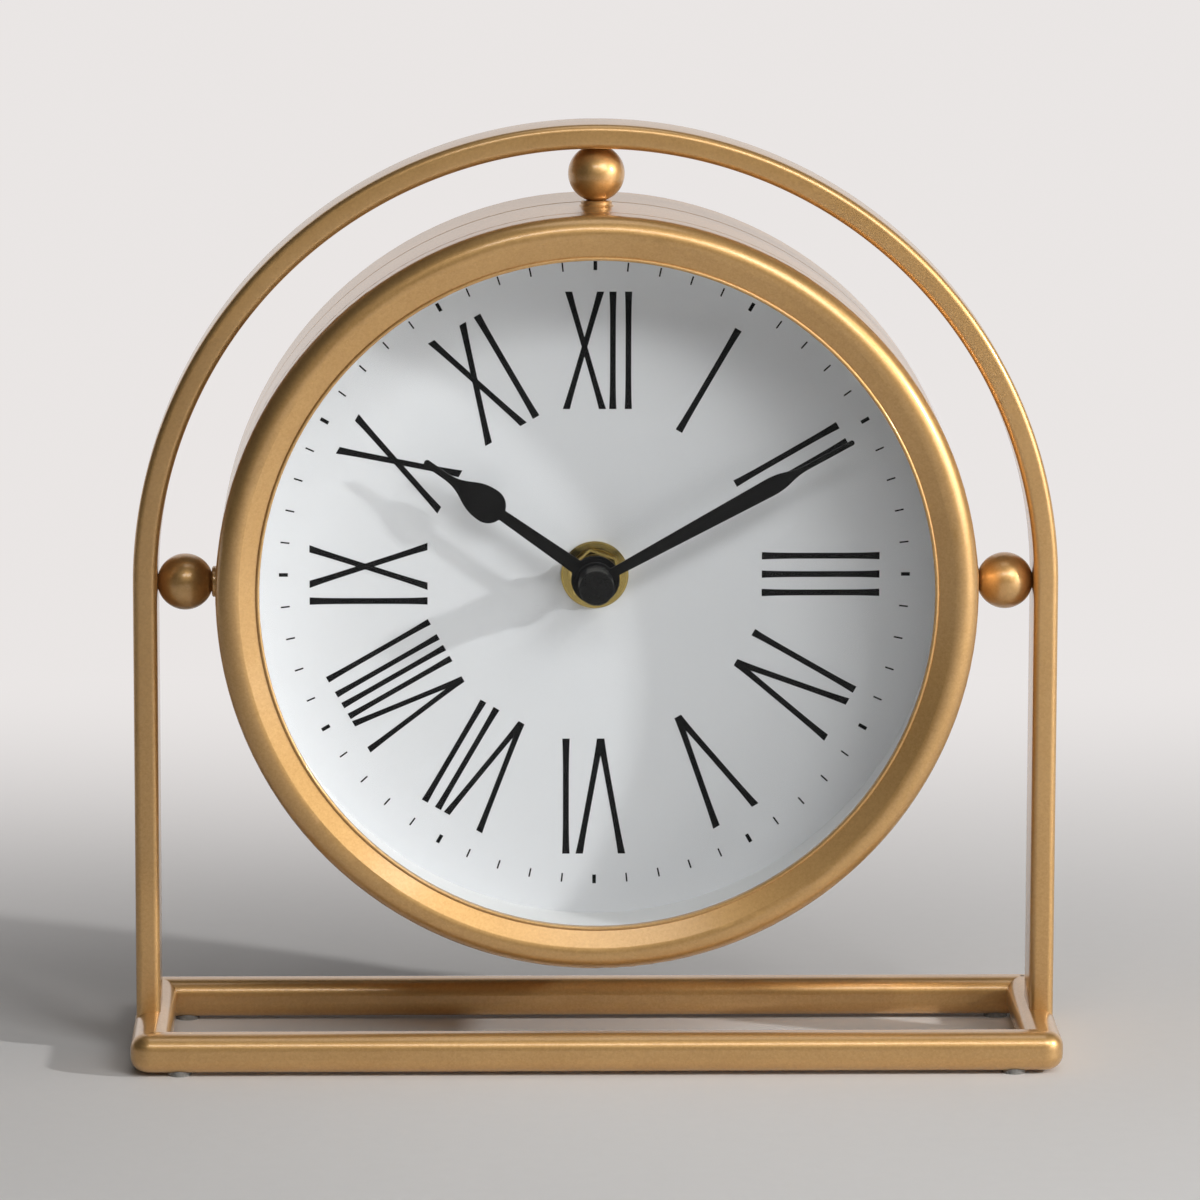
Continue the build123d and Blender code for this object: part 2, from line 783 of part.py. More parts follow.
def third_wheel():
    """Wheel driven by the second pinion, with the pinion that drives the centre wheel."""
    towards_centre = third_direction + 180
    phase = facing(third_teeth, towards_centre)
    wheel = wheel_slab(wheel_teeth(third_teeth, third_module, phase), third_layer, third_place)
    pinion_outline = pinion_teeth(train_pinion_teeth, centre_module, towards_centre)
    pinion = slab(pinion_outline, centre_layer - pinion_overlap, third_layer, third_place)
    arbor = disc(arbor_diameter / 2, middle_plate_front, pivot_end, third_place)
    return wheel + pinion + arbor


def second_wheel():
    """Wheel that turns once a minute, on the long arbor inside the minute pipe."""
    phase = facing(second_teeth, fifth_direction)
    wheel = wheel_slab(wheel_teeth(second_teeth, second_module, phase), second_layer, centre_place)
    outline = pinion_teeth(train_pinion_teeth, third_module, third_direction)
    pinion = slab(outline, third_layer - pinion_overlap, second_layer, centre_place)
    front_arbor = disc(second_arbor_diameter / 2, bush_front, third_layer - pinion_overlap)
    back_arbor = disc(arbor_diameter / 2, second_layer, pivot_end)
    return wheel + pinion + front_arbor + back_arbor


def fifth_wheel():
    """Wheel driven by the rotor, with the pinion that drives the second wheel."""
    phase = facing(fifth_teeth, rotor_direction)
    wheel = wheel_slab(wheel_teeth(fifth_teeth, rotor_module, phase), fifth_layer, fifth_place)
    outline = pinion_teeth(train_pinion_teeth, second_module, fifth_direction + 180)
    pinion = slab(outline, second_layer - pinion_overlap, fifth_layer, fifth_place)
    return wheel + pinion + disc(arbor_diameter / 2, middle_plate_front, pivot_end, fifth_place)


def rotor():
    """Magnet and pinion of the stepping motor."""
    magnet = disc(magnet_diameter / 2, magnet_front, magnet_back, rotor_place)
    outline = pinion_teeth(train_pinion_teeth, rotor_module, rotor_direction + 180)
    pinion = slab(outline, fifth_layer - pinion_overlap, magnet_front, rotor_place)
    return magnet + pinion + disc(arbor_diameter / 2, middle_plate_front, pivot_end, rotor_place)


# Hands, drawn along x and turned to the time
def turned_hand(outline, angle, front, back):
    """Hand turned clockwise from twelve."""
    return slab(outline.rotate(Axis.Z, 90 - angle), front, back)


def closed_pair(flank, start_half, end_half, start, end):
    """Face between a flank and its mirror image, closed by straight ends."""
    lower = flank.mirror(Plane.XZ)
    root = Line((start, -start_half), (start, start_half))
    tip = Line((end, end_half), (end, -end_half))
    return make_face(Curve() + [flank, lower, root, tip])


def tip_strip(start, length, width):
    """Straight end of a hand, with a round point."""
    middle = (start + length - width / 2) / 2
    strip = Pos(middle, 0) * Rectangle(length - width / 2 - start, width)
    return strip + Pos(length - width / 2, 0) * Circle(width / 2)


def hour_hand():
    """Spade hand: a shaft, a drop-shaped bulb and a straight tip, on a collet."""
    bulb_radius = hour_bulb_diameter / 2
    shaft_half = hour_shaft_root_width / 2
    end_half = hour_shaft_end_width / 2
    tip_half = hour_tip_width / 2
    shaft_edge = Line((0, shaft_half), (hour_bulb_distance, end_half))
    shaft = closed_pair(shaft_edge, shaft_half, end_half, 0, hour_bulb_distance)
    pull = (hour_neck_distance - hour_bulb_distance) / 2
    flank = Bezier(
        (hour_bulb_distance, bulb_radius),
        (hour_bulb_distance + pull, bulb_radius),
        (hour_neck_distance - pull, tip_half),
        (hour_neck_distance, tip_half),
    )
    drop = closed_pair(flank, bulb_radius, tip_half, hour_bulb_distance, hour_neck_distance)
    bulb = Pos(hour_bulb_distance, 0) * Circle(bulb_radius)
    tip = tip_strip(hour_neck_distance, hour_hand_length, hour_tip_width)
    outline = Circle(hour_hub_diameter / 2) + shaft + bulb + drop + tip - Circle(hour_pipe_radius)
    collet = tube(hour_pipe_radius + collet_wall, hour_pipe_radius, hour_hand_back, bush_front - hand_gap)
    return turned_hand(outline, hour_angle, hour_hand_front, hour_hand_back) + collet


def minute_hand():
    """Leaf hand: it widens straight from the hub, then curves in to a thin straight tip."""
    root_half = minute_root_width / 2
    leaf_half = minute_leaf_width / 2
    tip_half = minute_tip_width / 2
    edge = Line((0, root_half), (minute_leaf_distance, leaf_half))
    blade = closed_pair(edge, root_half, leaf_half, 0, minute_leaf_distance)
    pull = (minute_neck_distance - minute_leaf_distance) / 2
    flank = Bezier(
        (minute_leaf_distance, leaf_half),
        (minute_leaf_distance + pull, leaf_half),
        (minute_neck_distance - pull, tip_half),
        (minute_neck_distance, tip_half),
    )
    leaf = closed_pair(flank, leaf_half, tip_half, minute_leaf_distance, minute_neck_distance)
    tip = tip_strip(minute_neck_distance, minute_hand_length, minute_tip_width)
    outline = Circle(minute_hub_diameter / 2) + blade + leaf + tip - Circle(minute_pipe_radius)
    collet_back = minute_hand_back + minute_collet_length
    collet = tube(minute_pipe_radius + collet_wall, minute_pipe_radius, minute_hand_back, collet_back)
    return turned_hand(outline, minute_angle, minute_hand_front, minute_hand_back) + collet


def hand_cap():
    """Closed cap pressed over the end of the minute pipe."""
    cap = disc(cap_diameter / 2, cap_front, minute_hand_front)
    cap = fillet(cap.faces().sort_by(Axis.Y)[0].edges(), cap_edge_radius)
    return cap - disc(minute_pipe_radius, cap_front + cap_wall, minute_hand_front)


def build():
    """Every piece by name."""
    turns = {"top": 0, "left": -90, "right": 90}
    front_bar = long_bar(-1)
    rear_bar = long_bar(1)
    left_bar = side_bar(-bar_x, front_bar, rear_bar)
    right_bar = side_bar(bar_x, front_bar, rear_bar)
    arch = stand_arch([left_bar, right_bar])
    drum_skin = disc(case_radius, case_front, case_back)
    pieces = {
        "stand_arch": arch,
        "base_front_bar": front_bar,
        "base_rear_bar": rear_bar,
        "base_left_bar": left_bar,
        "base_right_bar": right_bar,
        "foot_pads": foot_pads([front_bar, rear_bar]),
    }
    for name, turn in turns.items():
        pieces["ball_" + name] = ball(arch, drum_skin, turn)
    pieces["ball_screws"] = Compound(children=[ball_screw(turn) for turn in turns.values()])
    pieces["case_drum"] = case_drum(turns.values())
    pieces["rear_shell"] = rear_shell()
    pieces["bezel_ring"] = bezel_ring()
    pieces["glass_lens"] = disc(glass_radius, glass_front, glass_back)
    pieces["spacer_ring"] = tube(glass_radius, glass_radius - spacer_wall, glass_back, dial_front)
    dial_radius = case_inner - dial_clearance
    bush_hole = bush_radius + bush_clearance
    pieces["dial_plate"] = tube(dial_radius, bush_hole, dial_front, dial_back)
    pieces["rear_spacer"] = tube(dial_radius, dial_radius - rear_spacer_wall, dial_back, flange_front)
    pieces["back_plate"] = back_plate()
    pieces["back_screws"] = back_screws()
    washer_front = dial_front - dial_washer_thickness
    pieces["dial_washer"] = tube(dial_washer_diameter / 2, bush_hole, washer_front, dial_front)
    pieces["dial_nut"] = dial_nut()
    pieces["rubber_washer"] = tube(rubber_washer_diameter / 2, bush_hole, dial_back, movement_front)
    bush_bore = hour_pipe_radius + running_clearance
    pieces["threaded_bush"] = tube(bush_radius, bush_bore, bush_front, movement_inside)
    pieces["movement_front_case"] = movement_front_case()
    pieces["movement_back_case"] = movement_back_case()
    pieces["middle_plate"] = middle_plate()
    pieces["stator"] = stator()
    pieces["coil_core"] = coil_core()
    pieces["coil_winding"] = coil_winding()
    pieces["circuit_board"] = circuit_board()
    pieces["battery"] = battery()
    pieces["contact_positive"] = contact(1)
    pieces["contact_negative"] = contact(-1)
    pieces["minute_pipe"] = minute_pipe()
    pieces["minute_works_wheel"] = minute_works_wheel()
    pieces["hour_wheel"] = hour_wheel()
    pieces["setting_knob"] = setting_knob()
    pieces["centre_wheel"] = centre_wheel()
    pieces["third_wheel"] = third_wheel()
    pieces["second_wheel"] = second_wheel()
    pieces["fifth_wheel"] = fifth_wheel()
    pieces["rotor"] = rotor()
    pieces["hour_hand"] = hour_hand()
    pieces["minute_hand"] = minute_hand()
    pieces["hand_cap"] = hand_cap()
    return pieces


os.makedirs("parts", exist_ok=True)
for node, shape in build().items():
    export_step(shape, f"parts/{node}.step")
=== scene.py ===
"""Desk clock in satin gold paint.

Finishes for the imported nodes, and the arch bar, balls, dial print, screws and housing marks that
are modelled here, in a plain studio with a camera at the photograph's place.
"""
import json
import logging
import math
from collections.abc import Mapping, Sequence
from dataclasses import dataclass, field
from enum import Enum
from typing import Any

import bmesh
import bpy
from mathutils import Matrix, Vector


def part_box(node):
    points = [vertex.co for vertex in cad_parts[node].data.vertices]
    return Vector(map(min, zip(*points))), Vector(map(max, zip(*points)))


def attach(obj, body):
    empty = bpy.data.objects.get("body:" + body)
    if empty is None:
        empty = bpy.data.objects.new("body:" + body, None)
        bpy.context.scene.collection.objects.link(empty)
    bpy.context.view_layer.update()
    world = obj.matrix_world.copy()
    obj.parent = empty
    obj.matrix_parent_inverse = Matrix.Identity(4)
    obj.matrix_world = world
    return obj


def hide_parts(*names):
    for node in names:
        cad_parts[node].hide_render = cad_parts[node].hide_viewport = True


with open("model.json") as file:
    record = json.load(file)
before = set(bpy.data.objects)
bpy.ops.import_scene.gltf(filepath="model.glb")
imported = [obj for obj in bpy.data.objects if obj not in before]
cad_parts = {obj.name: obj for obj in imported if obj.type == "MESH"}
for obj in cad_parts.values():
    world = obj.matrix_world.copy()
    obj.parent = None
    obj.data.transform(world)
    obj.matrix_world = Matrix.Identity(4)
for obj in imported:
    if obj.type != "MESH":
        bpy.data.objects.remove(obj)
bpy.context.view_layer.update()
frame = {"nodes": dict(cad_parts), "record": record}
log = logging.getLogger("desk_clock")

MM = 0.001
AXIS_HEIGHT = 98.0 * MM
MERGE = 0.001 * MM  # points nearer than this become one
SMOOTH_BELOW = math.radians(35)  # edges flatter than this are shaded smooth
Colour = tuple[float, float, float]
Place = tuple[float, float, float]
Point = tuple[float, float]


class Wire:
    """Output of a node, so that maths on it reads as a plain expression."""

    def __init__(self, sheet: "Sheet", socket: bpy.types.NodeSocket | None) -> None:
        """Keep the socket and the sheet that it is on."""
        self.sheet = sheet
        self.socket = socket

    def maths(self, operation: str, *others: "Wire | float") -> "Wire":
        """Math node whose first value is this one."""
        return self.sheet.maths(operation, self, *others)

    def __add__(self, other: "Wire | float") -> "Wire":
        """Sum."""
        return self.maths("ADD", other)

    def __sub__(self, other: "Wire | float") -> "Wire":
        """Difference."""
        return self.maths("SUBTRACT", other)

    def __rsub__(self, other: float) -> "Wire":
        """Difference from a number."""
        return self.sheet.maths("SUBTRACT", other, self)

    def __mul__(self, other: "Wire | float") -> "Wire":
        """Product."""
        return self.maths("MULTIPLY", other)

    def __truediv__(self, other: "Wire | float") -> "Wire":
        """Quotient."""
        return self.maths("DIVIDE", other)

    def __rtruediv__(self, other: float) -> "Wire":
        """Quotient of a number by this value."""
        return self.sheet.maths("DIVIDE", other, self)

    def __pow__(self, other: "Wire | float") -> "Wire":
        """Power."""
        return self.maths("POWER", other)

    def __rpow__(self, other: float) -> "Wire":
        """Power of a number by this value."""
        return self.sheet.maths("POWER", other, self)

    def __abs__(self) -> "Wire":
        """Size without the sign."""
        return self.maths("ABSOLUTE")

    __radd__ = __add__
    __rmul__ = __mul__

    def about(self, middle: float, spread: float) -> "Wire":
        """Value about a middle, for a noise that lies about a half."""
        return middle + self * spread - spread / 2


class Sheet:
    """Node tree that is being filled, of a material or of geometry."""

    def __init__(self, tree: bpy.types.NodeTree) -> None:
        """Start from an empty tree."""
        tree.nodes.clear()
        self.tree = tree

    @staticmethod
    def socket(sockets: Sequence[bpy.types.NodeSocket], key: int | str) -> bpy.types.NodeSocket:
        """Find a socket.

        Args:
            sockets: The inputs or outputs of a node.
            key: Its number, identifier or name.

        Returns:
            The socket.
        """
        if isinstance(key, int):
            return sockets[key]
        for socket in sockets:
            if socket.identifier == key:
                return socket
        return sockets[key]

    def node(
        self,
        kind: str,
        settings: Mapping[str, Any] | None = None,
        sockets: Mapping[int | str, Any] | None = None,
        output: int | str = 0,
    ) -> Wire:
        """Add a node.

        Args:
            kind: The node's type.
            settings: Its properties, set first.
            sockets: The value or the wire of each input.
            output: The output to hand on.

        Returns:
            The wire from that output.
        """
        made = self.tree.nodes.new(kind)
        for name, value in (settings or {}).items():
            setattr(made, name, value)
        for key, value in (sockets or {}).items():
            target = self.socket(made.inputs, key)
            if isinstance(value, Wire):
                self.tree.links.new(value.socket, target)
            else:
                target.default_value = value
        return Wire(self, self.socket(made.outputs, output) if made.outputs else None)

    def maths(self, operation: str, *values: Wire | float) -> Wire:
        """Math node on numbers."""
        return self.node("ShaderNodeMath", {"operation": operation}, dict(enumerate(values)))

    def between(self, factor: Wire, low: Wire | Colour, high: Colour) -> Wire:
        """Mix two colours.

        Args:
            factor: 0 for the first colour and 1 for the second.
            low: The first colour, plain or from another node.
            high: The second colour.

        Returns:
            The mixed colour.
        """
        start = low if isinstance(low, Wire) else (*low, 1.0)
        values = {"Factor_Float": factor, "A_Color": start, "B_Color": (*high, 1.0)}
        return self.node("ShaderNodeMix", {"data_type": "RGBA"}, values, "Result_Color")

    def over(self, share: Wire, under: Wire, top: Wire) -> Wire:
        """Shader with a share of another one over it."""
        return self.node("ShaderNodeMixShader", None, {0: share, 1: under, 2: top})

    def clear(self, tint: Colour) -> Wire:
        """Shader that lets the light straight through."""
        return self.node("ShaderNodeBsdfTransparent", None, {"Color": (*tint, 1.0)})

    def place(self) -> Wire:
        """Object coordinates, in metres."""
        return self.node("ShaderNodeTexCoord", output="Object")

    def parts(self, vector: Wire) -> tuple[Wire, Wire, Wire]:
        """Take a vector apart.

        Args:
            vector: The wire of the vector.

        Returns:
            Its x, y and z.
        """
        made = self.node("ShaderNodeSeparateXYZ", None, {"Vector": vector})
        x, y, z = (Wire(self, made.socket.node.outputs[axis]) for axis in "XYZ")
        return x, y, z

    def grain(self, size: float, detail: float = 2.0, place: Wire | None = None) -> Wire:
        """Noise of a size.

        Args:
            size: Width of a grain in metres.
            detail: Octaves of finer noise.
            place: Coordinates, if not the object's own.

        Returns:
            A value about 0.5.
        """
        values = {"Vector": place or self.place(), "Scale": 1.0 / size, "Detail": detail}
        return self.node("ShaderNodeTexNoise", None, values, "Fac")

    def cells(self, size: float) -> Wire:
        """Random value in each of many small cells.

        Args:
            size: Width of a cell in metres.

        Returns:
            A value from 0 to 1.
        """
        values = {"Vector": self.place(), "Scale": 1.0 / size}
        colour = self.node("ShaderNodeTexVoronoi", None, values, "Color")
        return self.node("ShaderNodeSeparateColor", None, {"Color": colour}, "Red")

    def relief(self, height: Wire, depth: float, strength: float) -> Wire:
        """Normal with small relief, its depth in metres."""
        values = {"Height": height, "Distance": depth, "Strength": strength}
        return self.node("ShaderNodeBump", None, values)


def shaded(colour: Colour, share: float) -> Colour:
    """Colour made darker or lighter by a share."""
    red, green, blue = (min(1.0, channel * share) for channel in colour)
    return red, green, blue


class Brush(Enum):
    """Lines that making leaves on bare metal."""

    TURNED = "rings about the clock axis"
    DRAWN = "lines along the piece"
    TUMBLED = "no direction"


@dataclass(frozen=True)
class Finish:
    """Finish of a surface; each kind lays its own nodes."""

    name: str

    def material(self) -> bpy.types.Material:
        """Make the material of this finish, once.

        Returns:
            The material.
        """
        name = "finish_" + self.name
        made = bpy.data.materials.get(name)
        if made is None:
            made = bpy.data.materials.new(name)
            made.use_nodes = True
            sheet = Sheet(made.node_tree)
            sheet.node("ShaderNodeOutputMaterial", None, {"Surface": self.lay(sheet)})
        return made

    def lay(self, sheet: Sheet) -> Wire:
        """Nodes of the finish, as far as its shader."""
        raise NotImplementedError

    @staticmethod
    def shader(sheet: Sheet, values: Mapping[str, Any]) -> Wire:
        """Surface shader with the given sockets."""
        return sheet.node("ShaderNodeBsdfPrincipled", None, values)


@dataclass(frozen=True)
class GoldPaint(Finish):
    """Satin metallic paint: fine flakes under a thin clear skin, with a faint orange peel."""

    deep: Colour = (0.50, 0.276, 0.088)
    light: Colour = (0.73, 0.450, 0.182)
    metallic: float = 0.78
    roughness: float = 0.40
    coat: float = 0.8
    coat_roughness: float = 0.14
    flake: float = 0.00035
    flake_tone: float = 0.2
    flake_gloss: float = 0.05
    flake_relief: float = 0.1
    speckle: float = 0.00077
    speckle_tone: float = 0.5
    speckle_gloss: float = 0.10
    drift: float = 0.016
    drift_tone: float = 0.4
    drift_coat: float = 0.1
    tone_drop: float = 0.05
    peel: float = 0.0011
    peel_depth: float = 0.00001
    peel_strength: float = 0.3

    def lay(self, sheet: Sheet) -> Wire:
        """Vary the colour and the gloss by the flakes, and raise the peel.

        Args:
            sheet: The material's tree.

        Returns:
            The shader.
        """
        flakes = sheet.cells(self.flake)
        speckle = sheet.grain(self.speckle, detail=3.0)
        drift = sheet.grain(self.drift)
        peel = sheet.grain(self.peel, detail=1.5)
        tone = flakes * self.flake_tone + speckle * self.speckle_tone + drift * self.drift_tone
        height = peel * (1.0 - self.flake_relief) + flakes * self.flake_relief
        return self.shader(sheet, {
            "Base Color": sheet.between(tone - self.tone_drop, self.deep, self.light),
            "Metallic": self.metallic,
            "Roughness": self.roughness + speckle * self.speckle_gloss - flakes * self.flake_gloss,
            "Coat Weight": self.coat + drift * self.drift_coat,
            "Coat Roughness": self.coat_roughness,
            "Normal": sheet.relief(height, self.peel_depth, self.peel_strength),
        })


@dataclass(frozen=True)
class Enamel(Finish):
    """Smooth printed coat, on the dial or as its ink."""

    colour: Colour
    shade: Colour
    roughness: float = 0.42
    speckle: float = 0.0006
    gloss: float = 0.4
    cloud: float = 0.02
    uneven: float = 0.12
    tooth_share: float = 0.5
    tooth_depth: float = 0.000004
    tooth_strength: float = 0.5

    def lay(self, sheet: Sheet) -> Wire:
        """Cloud the colour faintly and give the surface a slight tooth.

        Args:
            sheet: The material's tree.

        Returns:
            The shader.
        """
        cloud = sheet.grain(self.cloud)
        tooth = sheet.grain(self.speckle)
        tone = cloud * (1.0 - self.tooth_share) + tooth * self.tooth_share
        return self.shader(sheet, {
            "Base Color": sheet.between(tone, self.shade, self.colour),
            "Roughness": tooth.about(self.roughness, self.uneven),
            "Specular IOR Level": self.gloss,
            "Normal": sheet.relief(tooth, self.tooth_depth, self.tooth_strength),
        })


@dataclass(frozen=True)
class Moulded(Finish):
    """Plastic or rubber with the fine spark texture of its mould."""

    colour: Colour
    roughness: float = 0.5
    texture: float = 0.00025
    depth: float = 0.00001
    mottle: float = 0.12
    cloud: float = 0.006
    uneven: float = 0.14
    texture_share: float = 0.4
    texture_strength: float = 0.6

    def lay(self, sheet: Sheet) -> Wire:
        """Raise the texture, and make the colour a little uneven.

        Args:
            sheet: The material's tree.

        Returns:
            The shader.
        """
        texture = sheet.grain(self.texture, detail=3.0)
        cloud = sheet.grain(self.cloud, detail=3.0)
        tone = cloud * (1.0 - self.texture_share) + texture * self.texture_share
        low, high = (shaded(self.colour, 1.0 + sign * self.mottle) for sign in (-1, 1))
        return self.shader(sheet, {
            "Base Color": sheet.between(tone, low, high),
            "Roughness": cloud.about(self.roughness, self.uneven),
            "Normal": sheet.relief(texture, self.depth, self.texture_strength),
        })


@dataclass(frozen=True)
class Metal(Finish):
    """Bare or plated metal with the lines of its making."""

    colour: Colour
    roughness: float = 0.28
    brush: Brush = Brush.TUMBLED
    line: float = 0.00018
    line_share: float = 0.4
    line_depth: float = 0.000006
    line_strength: float = 0.5
    uneven: float = 0.16
    tarnish: float = 0.003
    tarnish_share: float = 0.7
    tarnish_shade: float = 0.78
    turned_pitch: float = 0.3
    drawn_pitch: float = 0.04

    def lay(self, sheet: Sheet) -> Wire:
        """Put fine lines into the gloss and relief, and a little tarnish into the colour.

        Args:
            sheet: The material's tree.

        Returns:
            The shader.
        """
        lines = self.lines(sheet)
        tarnish = sheet.grain(self.tarnish, detail=3.0)
        tone = tarnish * self.tarnish_share + lines * self.line_share
        return self.shader(sheet, {
            "Base Color": sheet.between(tone, shaded(self.colour, self.tarnish_shade), self.colour),
            "Metallic": 1.0,
            "Roughness": lines.about(self.roughness, self.uneven),
            "Normal": sheet.relief(lines, self.line_depth, self.line_strength),
        })

    def lines(self, sheet: Sheet) -> Wire:
        """Noise drawn out along the lines of the metal's making.

        Args:
            sheet: The material's tree.

        Returns:
            A value about 0.5.
        """
        place = sheet.place()
        if self.brush is Brush.TUMBLED:
            return sheet.grain(self.line, 3.0, place)
        x, y, z = sheet.parts(place)
        height = z - AXIS_HEIGHT
        if self.brush is Brush.TURNED:
            across = (x * x + height * height) ** 0.5
            along = y * self.turned_pitch
        else:
            across = height
            along = x * self.drawn_pitch
        drawn = sheet.node("ShaderNodeCombineXYZ", None, {"X": across, "Y": along, "Z": y})
        return sheet.grain(self.line, 2.0, drawn)


@dataclass(frozen=True)
class Lacquer(Finish):
    """Black satin lacquer over stamped metal."""

    colour: Colour
    roughness: float = 0.40
    gloss: float = 0.2
    peel: float = 0.0009
    peel_depth: float = 0.00001
    peel_strength: float = 0.3
    dust: float = 0.00025
    dust_shade: float = 1.8
    uneven: float = 0.16

    def lay(self, sheet: Sheet) -> Wire:
        """Make the gloss a little uneven, over a soft peel.

        Args:
            sheet: The material's tree.

        Returns:
            The shader.
        """
        peel = sheet.grain(self.peel)
        dust = sheet.grain(self.dust)
        return self.shader(sheet, {
            "Base Color": sheet.between(dust, self.colour, shaded(self.colour, self.dust_shade)),
            "Roughness": dust.about(self.roughness, self.uneven),
            "Specular IOR Level": self.gloss,
            "Normal": sheet.relief(peel, self.peel_depth, self.peel_strength),
        })


@dataclass(frozen=True)
class ClearGlass(Finish):
    """Flat window glass: clear from the front, with a mirror gloss at a low angle."""

    straight: float = 0.006
    falloff: float = 5.0
    mirror: Colour = (0.97, 0.98, 0.98)
    tint: Colour = (0.985, 0.99, 0.988)
    roughness: float = 0.02
    wipe: float = 0.012
    smear: float = 0.02

    def lay(self, sheet: Sheet) -> Wire:
        """Lay gloss by angle over a clear sheet, with a trace of wiping marks in it.

        Args:
            sheet: The material's tree.

        Returns:
            The shader.
        """
        wiped = sheet.grain(self.wipe, detail=3.0)
        gloss = self.shader(sheet, {
            "Base Color": (*self.mirror, 1.0),
            "Metallic": 1.0,
            "Roughness": self.roughness + wiped * self.smear,
        })
        slant = sheet.node("ShaderNodeLayerWeight", None, {"Blend": 0.5}, "Facing")
        share = slant ** self.falloff * (1.0 - self.straight) + self.straight
        return sheet.over(share, sheet.clear(self.tint), gloss)


@dataclass(frozen=True)
class ClearVinyl(Finish):
    """Soft clear vinyl of a stick-on pad."""

    clear_share: float = 0.55
    cloud_share: float = 0.2
    low: Colour = (0.30, 0.29, 0.27)
    high: Colour = (0.40, 0.39, 0.36)
    tint: Colour = (0.9, 0.9, 0.88)
    cloud: float = 0.0008
    roughness: float = 0.22
    uneven: float = 0.1

    def lay(self, sheet: Sheet) -> Wire:
        """Lay a slightly clouded, glossy skin over a clear body.

        Args:
            sheet: The material's tree.

        Returns:
            The shader.
        """
        cloud = sheet.grain(self.cloud)
        skin = self.shader(sheet, {
            "Base Color": sheet.between(cloud, self.low, self.high),
            "Roughness": self.roughness + cloud * self.uneven,
        })
        share = cloud * self.cloud_share + (1.0 - self.clear_share)
        return sheet.over(share, sheet.clear(self.tint), skin)


@dataclass(frozen=True)
class CellJacket(Finish):
    """Printed jacket of a dry cell, with a pale ring and bare steel at its ends."""

    body: Colour = (0.035, 0.038, 0.045)
    ring: Colour = (0.42, 0.43, 0.45)
    steel: Colour = (0.62, 0.62, 0.63)
    ring_from: float = 15.0 * MM
    ring_to: float = 17.5 * MM
    jacket_half: float = 23.6 * MM
    jacket_offset: float = 0.6 * MM
    print_metallic: float = 0.1
    roughness: float = 0.30
    wave: float = 0.002
    wave_gloss: float = 0.1
    wave_depth: float = 0.00003
    wave_strength: float = 0.25

    def lay(self, sheet: Sheet) -> Wire:
        """Print bands along the cell, leave its ends bare, and make the shrunk skin wavy.

        Args:
            sheet: The material's tree.

        Returns:
            The shader.
        """
        x, _, _ = sheet.parts(sheet.place())
        inside = x.maths("GREATER_THAN", self.ring_from) * x.maths("LESS_THAN", self.ring_to)
        bare = abs(x + self.jacket_offset).maths("GREATER_THAN", self.jacket_half)
        wave = sheet.grain(self.wave)
        band = sheet.between(inside, self.body, self.ring)
        return self.shader(sheet, {
            "Base Color": sheet.between(bare, band, self.steel),
            "Metallic": bare * (1.0 - self.print_metallic) + self.print_metallic,
            "Roughness": self.roughness + wave * self.wave_gloss,
            "Normal": sheet.relief(wave, self.wave_depth, self.wave_strength),
        })


@dataclass(frozen=True)
class StudioPaper(Finish):
    """Pale sweep of paper; its rear part shows white to the eye and in reflections."""

    colour: Colour = (0.76, 0.745, 0.73)
    backdrop: Colour = (0.82, 0.79, 0.78)
    rise_from: float = 0.0
    rise_to: float = 0.42
    roughness: float = 0.7
    tooth: float = 0.004
    tooth_shade: float = 0.97

    def lay(self, sheet: Sheet) -> Wire:
        """Lay plain paper that passes into the backdrop towards the rear.

        Args:
            sheet: The material's tree.

        Returns:
            The shader.
        """
        tooth = sheet.grain(self.tooth)
        shade = shaded(self.colour, self.tooth_shade)
        paper = self.shader(sheet, {
            "Base Color": sheet.between(tooth, shade, self.colour),
            "Roughness": self.roughness,
        })
        glow = {"Color": (*self.backdrop, 1.0), "Strength": 1.0}
        white = sheet.node("ShaderNodeEmission", None, glow)
        seen = sheet.node("ShaderNodeLightPath", output="Is Camera Ray")
        for ray in ("Is Glossy Ray", "Is Transmission Ray"):
            seen = seen.maths("MAXIMUM", sheet.node("ShaderNodeLightPath", output=ray))
        _, depth, _ = sheet.parts(sheet.place())
        rise = sheet.node("ShaderNodeMapRange", {"interpolation_type": "SMOOTHSTEP"}, {
            "Value": depth, "From Min": self.rise_from, "From Max": self.rise_to,
        })
        return sheet.over(seen * rise, paper, white)


GOLD = GoldPaint("gold_paint")
INK = Enamel(
    "dial_ink", (0.008, 0.0075, 0.0085), (0.005, 0.005, 0.0055),
    roughness=0.5, speckle=0.0003, gloss=0.1,
)
SCREW_STEEL = Metal("zinc_steel", (0.62, 0.62, 0.64), roughness=0.26)
HOUSING = Moulded(
    "black_housing", (0.036, 0.036, 0.038), roughness=0.42, texture=0.0003, depth=0.000012,
)

